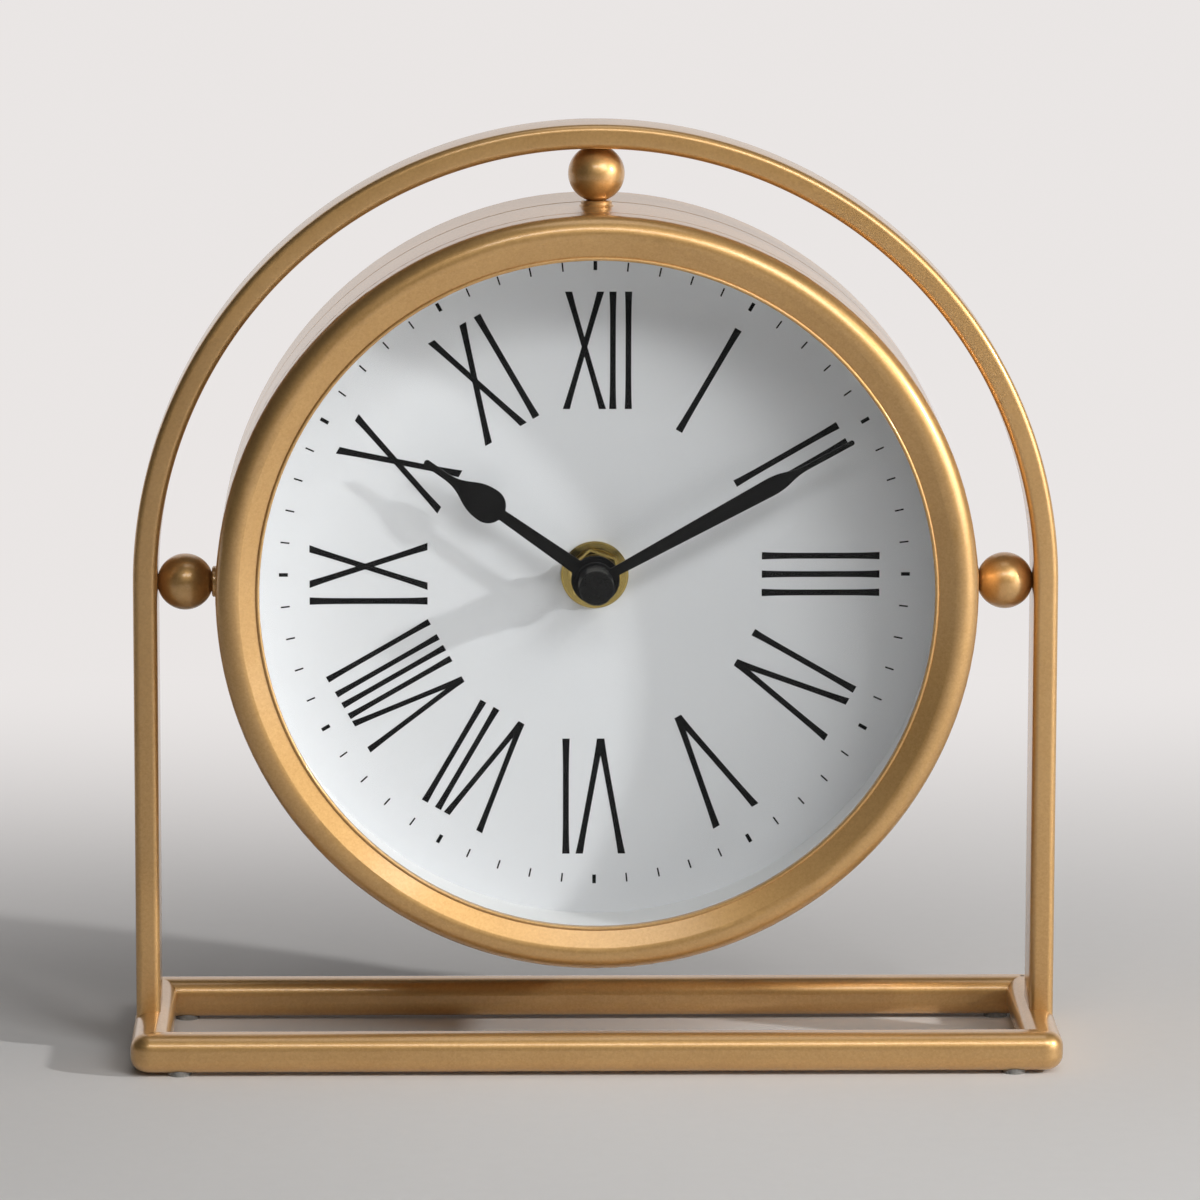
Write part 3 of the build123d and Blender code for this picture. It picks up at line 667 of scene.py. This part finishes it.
SLOT_FINISHES: dict[str, Finish] = {
    finish.name: finish
    for finish in (
        GOLD,
        ClearVinyl("clear_pad"),
        SCREW_STEEL,
        ClearGlass("clear_glass"),
        Moulded(
            "white_ring", (0.86, 0.86, 0.855),
            roughness=0.45, texture=0.0005, depth=0.000005, mottle=0.03,
        ),
        Enamel("white_dial", (0.845, 0.855, 0.882), (0.815, 0.825, 0.852), roughness=0.40),
        Moulded(
            "black_back", (0.024, 0.024, 0.024),
            roughness=0.50, texture=0.0006, depth=0.00003, mottle=0.2,
        ),
        Metal("brass", (0.62, 0.46, 0.15), roughness=0.26, brush=Brush.TURNED),
        Moulded(
            "black_rubber", (0.02, 0.02, 0.02), roughness=0.75, texture=0.0004, depth=0.00002,
        ),
        HOUSING,
        Moulded(
            "pale_plastic", (0.74, 0.72, 0.64),
            roughness=0.4, texture=0.0003, depth=0.000004, mottle=0.04,
        ),
        Metal("plated_pipe", (0.72, 0.58, 0.32), roughness=0.25, brush=Brush.TURNED),
        Metal("iron", (0.42, 0.42, 0.43), roughness=0.38, brush=Brush.DRAWN),
        Metal("copper", (0.72, 0.33, 0.18), roughness=0.33, brush=Brush.DRAWN, line=0.0001),
        Moulded(
            "board", (0.04, 0.16, 0.07),
            roughness=0.35, texture=0.0005, depth=0.000008, mottle=0.15,
        ),
        CellJacket("cell_jacket"),
        Metal("nickel", (0.66, 0.64, 0.60), roughness=0.2),
        Moulded("ferrite", (0.05, 0.05, 0.052), texture=0.0002, depth=0.000006),
        Moulded("knob", (0.065, 0.065, 0.068), roughness=0.38, texture=0.0003),
        Lacquer("black_hands", (0.0032, 0.003, 0.0032), gloss=0.16),
        Lacquer("black_cap", (0.004, 0.004, 0.004), roughness=0.26),
    )
}


def placed(name: str, data: bpy.types.ID) -> bpy.types.Object:
    """Put data into the scene.

    Args:
        name: The object's name.
        data: Its mesh, lamp or camera.

    Returns:
        The object.
    """
    made = bpy.data.objects.new(name, data)
    bpy.context.scene.collection.objects.link(made)
    return made


@dataclass
class Piece:
    """Modelled piece on its way to its body."""

    name: str
    shape: bpy.types.Mesh
    finish: Finish
    slot: str
    body: str = "clock_frame"
    stands_for: tuple[str, ...] = ()

    def fit(self) -> None:
        """Put the piece on its body."""
        made = placed(self.name, self.shape)
        if not made.data.materials:
            made.data.materials.append(self.finish.material())
        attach(made, self.body)
        if self.stands_for:
            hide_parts(*self.stands_for)
        log.info("%s rides on %s with %d faces", self.name, self.body, len(made.data.polygons))


@dataclass
class Grown:
    """Mesh grown from a seed by a Geometry Nodes tree."""

    name: str
    seed: bpy.types.Mesh
    finish: Finish
    sizes: dict[str, float | int]
    tree: bpy.types.NodeTree = field(init=False)
    keys: dict[str, str] = field(init=False, default_factory=dict)

    def take(self, sheet: Sheet, name: str) -> Wire:
        """Wire from a named input of the tree."""
        return sheet.node("NodeGroupInput", output=self.keys[name])

    def lay(self, sheet: Sheet) -> Wire:
        """Nodes of the shape, as far as its realized geometry."""
        raise NotImplementedError

    def declare(self) -> None:
        """Make the tree and its named inputs."""
        kinds = {int: "NodeSocketInt", float: "NodeSocketFloat"}
        inputs = {"Seed": "NodeSocketGeometry", "Finish": "NodeSocketMaterial"}
        inputs |= {name: kinds[type(value)] for name, value in self.sizes.items()}
        self.tree = bpy.data.node_groups.new(self.name, "GeometryNodeTree")
        face = self.tree.interface
        face.new_socket("Geometry", in_out="OUTPUT", socket_type="NodeSocketGeometry")
        for name, kind in inputs.items():
            self.keys[name] = face.new_socket(name, socket_type=kind).identifier

    def grow(self) -> bpy.types.Mesh:
        """Run the tree once and keep its result.

        Returns:
            The plain mesh; the object that carried the tree is gone.
        """
        self.declare()
        sheet = Sheet(self.tree)
        dressed = sheet.node("GeometryNodeSetMaterial", None, {
            "Geometry": self.lay(sheet), "Material": self.take(sheet, "Finish"),
        })
        sheet.node("NodeGroupOutput", None, {0: dressed})
        host = placed(self.name, self.seed)
        modifier = host.modifiers.new(self.name, "NODES")
        modifier.node_group = self.tree
        modifier[self.keys["Finish"]] = self.finish.material()
        for name, value in self.sizes.items():
            modifier[self.keys[name]] = value
        graph = bpy.context.evaluated_depsgraph_get()
        mesh = bpy.data.meshes.new_from_object(host.evaluated_get(graph))
        host.modifiers.clear()
        bpy.data.objects.remove(host)
        return mesh


@dataclass
class Ring(Grown):
    """Copies of a seed round the clock axis, each turned to face outwards from it."""

    def lay(self, sheet: Sheet) -> Wire:
        """Set points on a circle, and the seed on each.

        Args:
            sheet: The shape's tree.

        Returns:
            The realized copies.
        """
        count = self.take(sheet, "Count")
        radius = self.take(sheet, "Radius")
        index = sheet.node("GeometryNodeInputIndex")
        angle = index * math.tau / count + self.take(sheet, "First Angle")
        side = angle.maths("SINE") * radius
        height = angle.maths("COSINE") * radius + self.take(sheet, "Axis Height")
        spot = sheet.node("ShaderNodeCombineXYZ", None, {"X": side, "Z": height})
        turn = sheet.node("ShaderNodeCombineXYZ", None, {"Y": angle})
        points = sheet.node("GeometryNodePoints", None, {"Count": count, "Position": spot})
        copies = sheet.node("GeometryNodeInstanceOnPoints", None, {
            "Points": points, "Instance": self.take(sheet, "Seed"), "Rotation": turn,
        })
        return sheet.node("GeometryNodeRealizeInstances", None, {"Geometry": copies})


@dataclass
class Strokes(Grown):
    """Numeral strokes: a box for each point of the seed, drawn out, leant, flared and turned."""

    flare_power: float = 4.0

    def named(self, sheet: Sheet, name: str) -> Wire:
        """Value that each stroke carries."""
        settings = {"data_type": "FLOAT"}
        return sheet.node("GeometryNodeInputNamedAttribute", settings, {"Name": name})

    def lay(self, sheet: Sheet) -> Wire:
        """Set unit boxes on the seed's points, and move each corner to its place on the dial.

        Args:
            sheet: The shape's tree.

        Returns:
            The realized strokes.
        """
        steps = {"Vertices Y": self.take(sheet, "Steps")}
        box = sheet.node("GeometryNodeMeshCube", None, steps, "Mesh")
        copies = sheet.node("GeometryNodeInstanceOnPoints", None, {
            "Points": self.take(sheet, "Seed"), "Instance": box,
        })
        strokes = sheet.node("GeometryNodeRealizeInstances", None, {"Geometry": copies})
        across, along, proud = sheet.parts(sheet.node("GeometryNodeInputPosition"))
        flare = abs(along * 2.0) ** self.flare_power * self.take(sheet, "Flare") + 1.0
        side = across * self.named(sheet, "width") * flare
        side = side + self.named(sheet, "offset") + along * self.named(sheet, "lean")
        inner = self.take(sheet, "Inner Radius")
        outer = self.take(sheet, "Outer Radius")
        radius = (along + 0.5) * (outer - inner) + inner
        depth = self.take(sheet, "Dial Front") - (proud + 0.5) * self.named(sheet, "proud")
        angle = self.named(sheet, "angle")
        sine = angle.maths("SINE")
        cosine = angle.maths("COSINE")
        height = radius * cosine - side * sine + self.take(sheet, "Axis Height")
        spot = sheet.node("ShaderNodeCombineXYZ", None, {
            "X": side * cosine + radius * sine, "Y": depth, "Z": height,
        })
        values = {"Geometry": strokes, "Position": spot}
        return sheet.node("GeometryNodeSetPosition", None, values)


@dataclass
class SweptBar(Grown):
    """Rounded flat bar swept along the edges of the seed."""

    def lay(self, sheet: Sheet) -> Wire:
        """Take the seed as a curve, and sweep a rounded section along it.

        Args:
            sheet: The shape's tree.

        Returns:
            The realized bar.
        """
        path = sheet.node("GeometryNodeMeshToCurve", None, {"Mesh": self.take(sheet, "Seed")})
        square = sheet.node("GeometryNodeCurvePrimitiveQuadrilateral", None, {
            "Width": self.take(sheet, "Across"), "Height": self.take(sheet, "Along"),
        })
        section = sheet.node("GeometryNodeFilletCurve", {"mode": "POLY"}, {
            "Curve": square,
            "Count": self.take(sheet, "Steps"),
            "Radius": self.take(sheet, "Edge Radius"),
        })
        bar = sheet.node("GeometryNodeCurveToMesh", None, {
            "Curve": path, "Profile Curve": section, "Fill Caps": True,
        })
        smooth = sheet.node("GeometryNodeSetShadeSmooth", None, {"Geometry": bar})
        return sheet.node("GeometryNodeRealizeInstances", None, {"Geometry": smooth})


def rectangle(x: float, z: float, width: float, height: float) -> list[Point]:
    """Corners of a rectangle about a point, counter-clockwise as seen from the front."""
    signs = ((-1, -1), (1, -1), (1, 1), (-1, 1))
    return [(x + side * width / 2, z + end * height / 2) for side, end in signs]


def prism(mesh: bmesh.types.BMesh, outline: Sequence[Point], front: float, back: float) -> None:
    """Add a straight-sided solid.

    Args:
        mesh: Where it goes.
        outline: Its x and z, counter-clockwise as seen from the front.
        front: Depth of its front face.
        back: Depth of its back face.
    """
    near = [mesh.verts.new((x, front, z)) for x, z in outline]
    far = [mesh.verts.new((x, back, z)) for x, z in outline]
    mesh.faces.new(near)
    mesh.faces.new(reversed(far))
    for one in range(len(outline)):
        two = (one + 1) % len(outline)
        mesh.faces.new((near[two], near[one], far[one], far[two]))


def lathe(mesh: bmesh.types.BMesh, profile: Sequence[Point], segments: int) -> None:
    """Turn a profile about the depth axis through the origin.

    Args:
        mesh: Where it goes.
        profile: Radius and depth of each point, from the axis and back to it.
        segments: Steps of the turn.
    """
    verts = [mesh.verts.new((radius, depth, 0.0)) for radius, depth in profile]
    edges = [mesh.edges.new(pair) for pair in zip(verts, verts[1:])]
    bmesh.ops.spin(
        mesh, geom=verts + edges, cent=(0, 0, 0), axis=(0, 1, 0), angle=math.tau, steps=segments,
    )
    bmesh.ops.remove_doubles(mesh, verts=mesh.verts, dist=MERGE)


def plain_mesh(name: str, mesh: bmesh.types.BMesh, smooth_below: float = 0.0) -> bpy.types.Mesh:
    """Close a mesh under construction.

    Args:
        name: Its name.
        mesh: The mesh, which is freed.
        smooth_below: Angle in radians below which an edge is shaded smooth.

    Returns:
        The finished mesh.
    """
    bmesh.ops.remove_doubles(mesh, verts=mesh.verts, dist=MERGE)
    bmesh.ops.recalc_face_normals(mesh, faces=mesh.faces)
    made = bpy.data.meshes.new(name)
    mesh.to_mesh(made)
    mesh.free()
    if smooth_below:
        made.shade_smooth()
        made.set_sharp_from_angle(angle=smooth_below)
    return made


@dataclass
class Dial:
    """Dial print: twelve numerals in flared strokes and a ring of ticks."""

    inner_radius: float = 34.6 * MM
    outer_radius: float = 59.0 * MM
    flare: float = 0.27
    stroke_steps: int = 17
    proud: float = 0.035 * MM
    crossing_proud: float = 0.12
    hours: int = 12
    minutes: int = 60
    tick_radius: float = 64.4 * MM
    tick_length: float = 1.85 * MM
    hour_tick_width: float = 0.75 * MM
    hour_tick_proud: float = 1.15
    minute_tick_width: float = 0.32 * MM
    front: float = field(init=False)

    def __post_init__(self) -> None:
        """Take the depth of the dial from its node."""
        self.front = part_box("dial_plate")[0].y

    @staticmethod
    def numerals() -> dict[int, tuple[float, list[Point]]]:
        """Strokes of the numerals, in millimetres.

        Returns:
            For each hour, the width of its strokes, and the place of each stroke's inner and outer
            end across the hour's line, clockwise.
        """

        def five(middle: float, half: float) -> list[Point]:
            """Two strokes that meet at the inner end."""
            return [(middle, middle - half), (middle, middle + half)]

        def ten(middle: float, inner: float, outer: float) -> list[Point]:
            """Two strokes that cross."""
            return [(middle - inner, middle + outer), (middle + inner, middle - outer)]

        def ones(*places: float) -> list[Point]:
            """Straight strokes."""
            return [(place, place) for place in places]

        return {
            1: (1.22, ones(0)),
            2: (1.22, ones(-1.94, 1.94)),
            3: (1.22, ones(-3.86, 0, 3.86)),
            4: (1.22, ones(-5.9) + five(1.4, 4.41)),
            5: (1.25, five(0, 4.64)),
            6: (1.22, five(-1.3, 4.41) + ones(5.9)),
            7: (1.12, five(-2.5, 3.9) + ones(3.5, 6.65)),
            8: (1.05, five(-5.35, 3.18) + ones(-0.36, 2.28, 4.92, 8.57)),
            9: (1.22, ones(-5.5) + ten(1.75, 4.18, 3.73)),
            10: (1.27, ten(0, 4.4, 3.95)),
            11: (1.24, ten(-1.2, 4.16, 3.75) + ones(5.95)),
            12: (1.17, ten(-2.2, 3.73, 3.3) + ones(3.65, 6.85)),
        }

    def stroke_seed(self) -> bpy.types.Mesh:
        """Make a point for each stroke, which carries the stroke's sizes.

        Returns:
            The mesh of points.
        """
        rows: list[dict[str, float]] = []
        for hour, (width, strokes) in self.numerals().items():
            for inner, outer in strokes:
                rows.append({
                    "angle": math.tau * hour / self.hours,
                    "offset": (inner + outer) / 2 * MM,
                    "lean": (outer - inner) * MM,
                    "width": width * MM,
                    "proud": self.proud * (1.0 + self.crossing_proud * (len(rows) % 2)),
                })
        seed = bpy.data.meshes.new("numeral_seed")
        seed.from_pydata([(0.0, 0.0, 0.0)] * len(rows), [], [])
        for name in rows[0]:
            layer = seed.attributes.new(name, "FLOAT", "POINT")
            layer.data.foreach_set("value", [row[name] for row in rows])
        return seed

    def tick_seed(self, name: str, width: float, proud: float) -> bpy.types.Mesh:
        """Make one tick at the origin, its length along z.

        Args:
            name: The mesh's name.
            width: The tick's width.
            proud: How far it stands before the dial.

        Returns:
            The tick's mesh.
        """
        mesh = bmesh.new()
        outline = rectangle(0.0, 0.0, width, self.tick_length)
        prism(mesh, outline, self.front - proud, self.front)
        return plain_mesh(name, mesh)

    def build(self) -> None:
        """Grow the print and put it on the dial."""
        numerals = Strokes("dial_numerals", self.stroke_seed(), INK, {
            "Steps": self.stroke_steps,
            "Flare": self.flare,
            "Inner Radius": self.inner_radius,
            "Outer Radius": self.outer_radius,
            "Dial Front": self.front,
            "Axis Height": AXIS_HEIGHT,
        })
        Piece(numerals.name, numerals.grow(), INK, "black_hands").fit()
        for name, count, width, proud in (
            ("minute_ticks", self.minutes, self.minute_tick_width, self.proud),
            ("hour_ticks", self.hours, self.hour_tick_width, self.hour_tick_proud * self.proud),
        ):
            ring = Ring(name, self.tick_seed(name + "_seed", width, proud), INK, {
                "Count": count,
                "Radius": self.tick_radius,
                "First Angle": 0.0,
                "Axis Height": AXIS_HEIGHT,
            })
            Piece(name, ring.grow(), INK, "black_hands").fit()


@dataclass
class Arch:
    """Bar of the stand, bent round the clock head."""

    middle_radius: float = 92.5 * MM
    thickness: float = 5.0 * MM
    depth: float = 14.0 * MM
    edge_radius: float = 1.4 * MM
    edge_steps: int = 12
    foot: float = 5.5 * MM
    crown_steps: int = 160

    def path(self) -> bpy.types.Mesh:
        """Draw the middle line of the bar, from foot to foot.

        Returns:
            A mesh of edges.
        """
        points = [(-self.middle_radius, 0.0, self.foot)]
        for step in range(self.crown_steps + 1):
            angle = math.pi * step / self.crown_steps
            x = -self.middle_radius * math.cos(angle)
            points.append((x, 0.0, AXIS_HEIGHT + self.middle_radius * math.sin(angle)))
        points.append((self.middle_radius, 0.0, self.foot))
        edges = [(one, one + 1) for one in range(len(points) - 1)]
        path = bpy.data.meshes.new("arch_path")
        path.from_pydata(points, edges, [])
        return path

    def build(self) -> None:
        """Sweep the bar in place of the plain one."""
        bar = SweptBar("arch_bar", self.path(), GOLD, {
            "Across": self.thickness,
            "Along": self.depth,
            "Edge Radius": self.edge_radius,
            "Steps": self.edge_steps,
        })
        Piece(bar.name, bar.grow(), GOLD, "gold_paint", stands_for=("stand_arch",)).fit()


@dataclass
class Balls:
    """Three balls that carry the clock head, each of them whole and on a low collar."""

    distance: float = 84.4 * MM
    radius: float = 5.8 * MM
    collar_radius: float = 3.2 * MM
    collar_edge: float = 0.25 * MM
    seat: float = 0.3 * MM
    foot: float = 77.7 * MM
    flare: float = 0.45 * MM
    steps: int = 48

    def profile(self) -> list[Point]:
        """Half outline of a ball with its collar.

        Returns:
            Radius and height of each point from the middle of the ball, from its top to its foot.
        """
        top = self.seat - self.radius
        sweep = math.acos(top / self.radius) / self.steps
        points = [
            (self.radius * math.sin(sweep * step), self.radius * math.cos(sweep * step))
            for step in range(self.steps + 1)
        ]
        low = self.foot - self.distance
        points += [
            (self.collar_radius - self.collar_edge, top),
            (self.collar_radius, top - self.collar_edge),
            (self.collar_radius, low + self.flare),
            (self.collar_radius + self.flare, low),
            (0.0, low),
        ]
        return points

    def build(self) -> None:
        """Turn the balls in place of the plain ones."""
        middle = Matrix.Translation((0.0, 0.0, AXIS_HEIGHT))
        outwards = Matrix.Translation((0.0, 0.0, self.distance))
        upright = Matrix.Rotation(math.pi / 2, 4, "X")
        for node, degrees in (("ball_top", 0.0), ("ball_left", -90.0), ("ball_right", 90.0)):
            mesh = bmesh.new()
            lathe(mesh, self.profile(), 2 * self.steps)
            place = middle @ Matrix.Rotation(math.radians(degrees), 4, "Y") @ outwards @ upright
            bmesh.ops.transform(mesh, matrix=place, verts=mesh.verts)
            shape = plain_mesh(f"{node}_turned", mesh, SMOOTH_BELOW)
            Piece(shape.name, shape, GOLD, "gold_paint", stands_for=(node,)).fit()


@dataclass
class BackScrews:
    """Pan-head screws of the back plate, with a cross recess."""

    count: int = 4
    circle: float = 74.3 * MM
    first_angle: float = math.radians(45)
    shank_radius: float = 1.45 * MM
    head_radius: float = 2.7 * MM
    head_flat: float = 0.42
    head_rim: float = 0.30
    dome_steps: int = 10
    segments: int = 40
    recess_width: float = 0.75 * MM
    recess_reach: float = 1.65 * MM
    recess_depth: float = 1.05 * MM
    recess_clear: float = 0.2 * MM
    mouth_reach: float = 1.1
    floor_width: float = 0.7
    floor_reach: float = 0.35

    def head(self) -> bpy.types.Object:
        """Turn a domed head with its shank.

        Returns:
            The object that is cut.
        """
        low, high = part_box("back_screws")
        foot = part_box("back_plate")[1].y
        profile = [
            (0.0, low.y),
            (self.shank_radius, low.y),
            (self.shank_radius, foot),
            (self.head_radius, foot),
        ]
        for step in range(self.dome_steps + 1):
            angle = math.radians(90 * step / self.dome_steps)
            out = self.head_flat + (1.0 - self.head_flat) * math.cos(angle)
            up = self.head_rim + (1.0 - self.head_rim) * math.sin(angle)
            profile.append((self.head_radius * out, foot + (high.y - foot) * up))
        profile.append((0.0, high.y))
        mesh = bmesh.new()
        lathe(mesh, profile, self.segments)
        return placed("screw_head", plain_mesh("screw_head", mesh, SMOOTH_BELOW))

    def cutter(self) -> bpy.types.Object:
        """Make the tapered cross that cuts the recess.

        Returns:
            The object that cuts.
        """
        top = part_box("back_screws")[1].y
        mouth = (top + self.recess_clear, 1.0, self.mouth_reach)
        floor = (top - self.recess_depth, self.floor_width, self.floor_reach)
        mesh = bmesh.new()
        for turned in (False, True):
            corners = []
            for depth, width, reach in (mouth, floor):
                size = self.recess_width * width, 2 * self.recess_reach * reach
                for x, z in rectangle(0.0, 0.0, *size):
                    corners.append(mesh.verts.new((z, depth, x) if turned else (x, depth, z)))
            mesh.faces.new(corners[:4])
            mesh.faces.new(corners[4:])
            for one in range(4):
                two = (one + 1) % 4
                mesh.faces.new((corners[one], corners[two], corners[4 + two], corners[4 + one]))
        return placed("recess_cutter", plain_mesh("recess_cutter", mesh))

    def seed(self) -> bpy.types.Mesh:
        """Cut the recess into one screw at the origin.

        Returns:
            The screw's mesh.
        """
        head = self.head()
        cutter = self.cutter()
        cut = head.modifiers.new("recess", "BOOLEAN")
        cut.operation = "DIFFERENCE"
        cut.solver = "EXACT"
        cut.use_self = True
        cut.object = cutter
        graph = bpy.context.evaluated_depsgraph_get()
        mesh = bmesh.new()
        mesh.from_mesh(bpy.data.meshes.new_from_object(head.evaluated_get(graph)))
        bmesh.ops.dissolve_degenerate(mesh, dist=MERGE, edges=mesh.edges)
        bpy.data.objects.remove(head)
        bpy.data.objects.remove(cutter)
        return plain_mesh("screw_seed", mesh, SMOOTH_BELOW)

    def build(self) -> None:
        """Grow the screws round the plate in place of the plain ones."""
        ring = Ring("cross_recess_screws", self.seed(), SCREW_STEEL, {
            "Count": self.count,
            "Radius": self.circle,
            "First Angle": self.first_angle,
            "Axis Height": AXIS_HEIGHT,
        })
        stands_for = ("back_screws",)
        Piece(ring.name, ring.grow(), SCREW_STEEL, "zinc_steel", stands_for=stands_for).fit()


@dataclass
class HousingMarks:
    """Raised marks on the movement's back: the poles of the cell, and arrows round the knob."""

    rise: float = 0.3 * MM
    pole_height: float = 91.0 * MM
    pole_side: float = 20.0 * MM
    pole_size: float = 4.4 * MM
    stroke: float = 0.9 * MM
    knob_height: float = 108.0 * MM
    arrow_radius: float = 8.0 * MM
    arrow_sweep: float = 62.0
    arrow_steps: int = 12
    arrow_head: float = 1.3 * MM
    arrow_point: float = 2.2

    def raised(self, mesh: bmesh.types.BMesh, outline: Sequence[Point]) -> None:
        """Raise an outline from the back of the housing."""
        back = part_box("movement_back_case")[1].y
        prism(mesh, outline, back - self.rise, back + self.rise)

    def minus(self) -> list[Point]:
        """Outline of the mark at the negative pole."""
        return rectangle(-self.pole_side, self.pole_height, self.pole_size, self.stroke)

    def plus(self) -> list[Point]:
        """Outline of the mark at the positive pole.

        Returns:
            Its corners.
        """
        half, arm = self.stroke / 2, self.pole_size / 2
        cross = (
            (-half, -arm), (half, -arm), (half, -half), (arm, -half), (arm, half), (half, half),
            (half, arm), (-half, arm), (-half, half), (-arm, half), (-arm, -half), (-half, -half),
        )
        return [(self.pole_side + x, self.pole_height + z) for x, z in cross]

    def arrow(self, middle: float) -> list[Point]:
        """Outline of an arc with a point at its end.

        Args:
            middle: Direction of its middle from the knob, in degrees from the right.

        Returns:
            Its corners.
        """

        def spot(angle: float, radius: float) -> Point:
            """Place at an angle and a radius from the knob."""
            turn = math.radians(angle)
            return radius * math.cos(turn), self.knob_height + radius * math.sin(turn)

        half = self.stroke / 2
        start = middle - self.arrow_sweep / 2
        end = middle + self.arrow_sweep / 2
        tip = end + math.degrees(self.arrow_point * self.arrow_head / self.arrow_radius)
        steps = range(self.arrow_steps + 1)
        angles = [start + (end - start) * step / self.arrow_steps for step in steps]
        return [
            *(spot(angle, self.arrow_radius + half) for angle in angles),
            spot(end, self.arrow_radius + self.arrow_head),
            spot(tip, self.arrow_radius),
            spot(end, self.arrow_radius - self.arrow_head),
            *(spot(angle, self.arrow_radius - half) for angle in reversed(angles)),
        ]

    def build(self) -> None:
        """Mould the marks."""
        for name, outlines in (
            ("housing_marks", (self.minus(), self.arrow(0.0), self.arrow(180.0))),
            ("plus_mark", (self.plus(),)),
        ):
            mesh = bmesh.new()
            for outline in outlines:
                self.raised(mesh, outline)
            Piece(name, plain_mesh(name, mesh), HOUSING, "black_housing").fit()


@dataclass
class Clock:
    """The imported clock, dressed node by node."""

    def build(self) -> None:
        """Give every node the finish of its slot."""
        for row in frame["record"]["subparts"]:
            node = frame["nodes"][row["node"]]
            finish = SLOT_FINISHES[row["material_slot"]]
            node.data.materials.clear()
            node.data.materials.append(finish.material())
            log.info("%s in %s", row["node"], finish.name)


@dataclass(frozen=True)
class Softbox:
    """Area lamp that faces the clock head."""

    name: str
    place: Place
    width: float
    height: float
    power: float
    aim: Place = (0.0, 0.0, 0.1)

    def build(self) -> None:
        """Hang the lamp."""
        data = bpy.data.lights.new(self.name, "AREA")
        data.shape = "RECTANGLE"
        data.size = self.width
        data.size_y = self.height
        data.energy = self.power
        towards = Vector(self.aim) - Vector(self.place)
        turn = towards.to_track_quat("-Z", "Y").to_matrix().to_4x4()
        placed(self.name, data).matrix_world = Matrix.Translation(self.place) @ turn


@dataclass
class Studio:
    """Paper sweep, lamps, plain surroundings and the camera of the photograph."""

    sweep_width: float = 8.0
    sweep_front: float = -3.0
    sweep_flat_to: float = 1.9
    sweep_radius: float = 0.9
    sweep_steps: int = 24
    sweep_top: float = 3.2
    ambient: float = 0.02
    camera_place: Place = (-0.03370, -1.5000, 0.35594)
    yaw: float = 0.02308
    pitch: float = 0.17286
    roll: float = 0.0022
    lens: float = 221.72
    sensor: float = 36.0

    def sweep(self) -> None:
        """Lay the floor, which curves up into a backdrop."""
        profile = [(self.sweep_front, 0.0)]
        for step in range(self.sweep_steps + 1):
            angle = math.radians(90 * step / self.sweep_steps)
            depth = self.sweep_flat_to + self.sweep_radius * math.sin(angle)
            profile.append((depth, self.sweep_radius * (1 - math.cos(angle))))
        profile.append((profile[-1][0], self.sweep_top))
        half = self.sweep_width / 2
        points = [(x, y, z) for y, z in profile for x in (-half, half)]
        faces = [(one, one + 1, one + 3, one + 2) for one in range(0, len(points) - 2, 2)]
        shape = bpy.data.meshes.new("studio_sweep")
        shape.from_pydata(points, [], faces)
        shape.shade_smooth()
        shape.materials.append(StudioPaper("studio_paper").material())
        floor = placed("studio_sweep", shape)

    def light(self) -> None:
        """Hang the windows on the right, the lamp of the hands' shadow, a strip and a ceiling."""
        for lamp in (
            Softbox("front_window", (0.70, -1.00, 0.87), width=0.5, height=0.6, power=5.4),
            Softbox("side_window", (1.39, -0.37, 0.30), width=0.5, height=0.36, power=1.0),
            Softbox("low_window", (1.30, -0.95, 0.22), width=0.8, height=0.4, power=2.8),
            Softbox("shadow_lamp", (1.04, -0.45, 0.50), width=0.05, height=0.05, power=8.2),
            Softbox("front_strip", (0.13, -1.10, 0.90), width=0.9, height=0.25, power=3.8),
            Softbox("ceiling", (0.05, -0.10, 1.40), width=0.6, height=0.6, power=1.6),
        ):
            lamp.build()
        world = bpy.data.worlds.new("plain_room")
        bpy.context.scene.world = world
        world.use_nodes = True
        sheet = Sheet(world.node_tree)
        glow = {"Color": (1, 1, 1, 1), "Strength": self.ambient}
        room = sheet.node("ShaderNodeBackground", None, glow)
        sheet.node("ShaderNodeOutputWorld", None, {"Surface": room})

    def camera(self) -> None:
        """Set up the camera at the photograph's place and angle."""
        level = math.cos(self.pitch)
        across, onward = math.sin(self.yaw) * level, math.cos(self.yaw) * level
        ahead = Vector((across, onward, -math.sin(self.pitch)))
        flat = Vector((math.cos(self.yaw), -math.sin(self.yaw), 0.0))
        up = flat.cross(ahead)
        cosine, sine = math.cos(self.roll), math.sin(self.roll)
        right = cosine * flat + sine * up
        top = cosine * up - sine * flat
        data = bpy.data.cameras.new("photo_camera")
        data.lens = self.lens
        data.sensor_width = self.sensor
        camera = placed("photo_camera", data)
        turn = Matrix((right, top, -ahead)).transposed().to_4x4()
        camera.matrix_world = Matrix.Translation(self.camera_place) @ turn
        bpy.context.scene.camera = camera

    def build(self) -> None:
        """Set up the studio."""
        self.sweep()
        self.light()
        self.camera()
        bpy.context.scene.view_settings.view_transform = "Standard"


def main() -> None:
    """Dress the clock, build its pieces and the studio."""
    logging.basicConfig(level=logging.INFO, format="%(message)s")
    for part in (Clock(), Arch(), Balls(), Dial(), BackScrews(), HousingMarks(), Studio()):
        part.build()
        log.info("%s is ready", type(part).__name__)


if __name__ == "__main__":
    main()
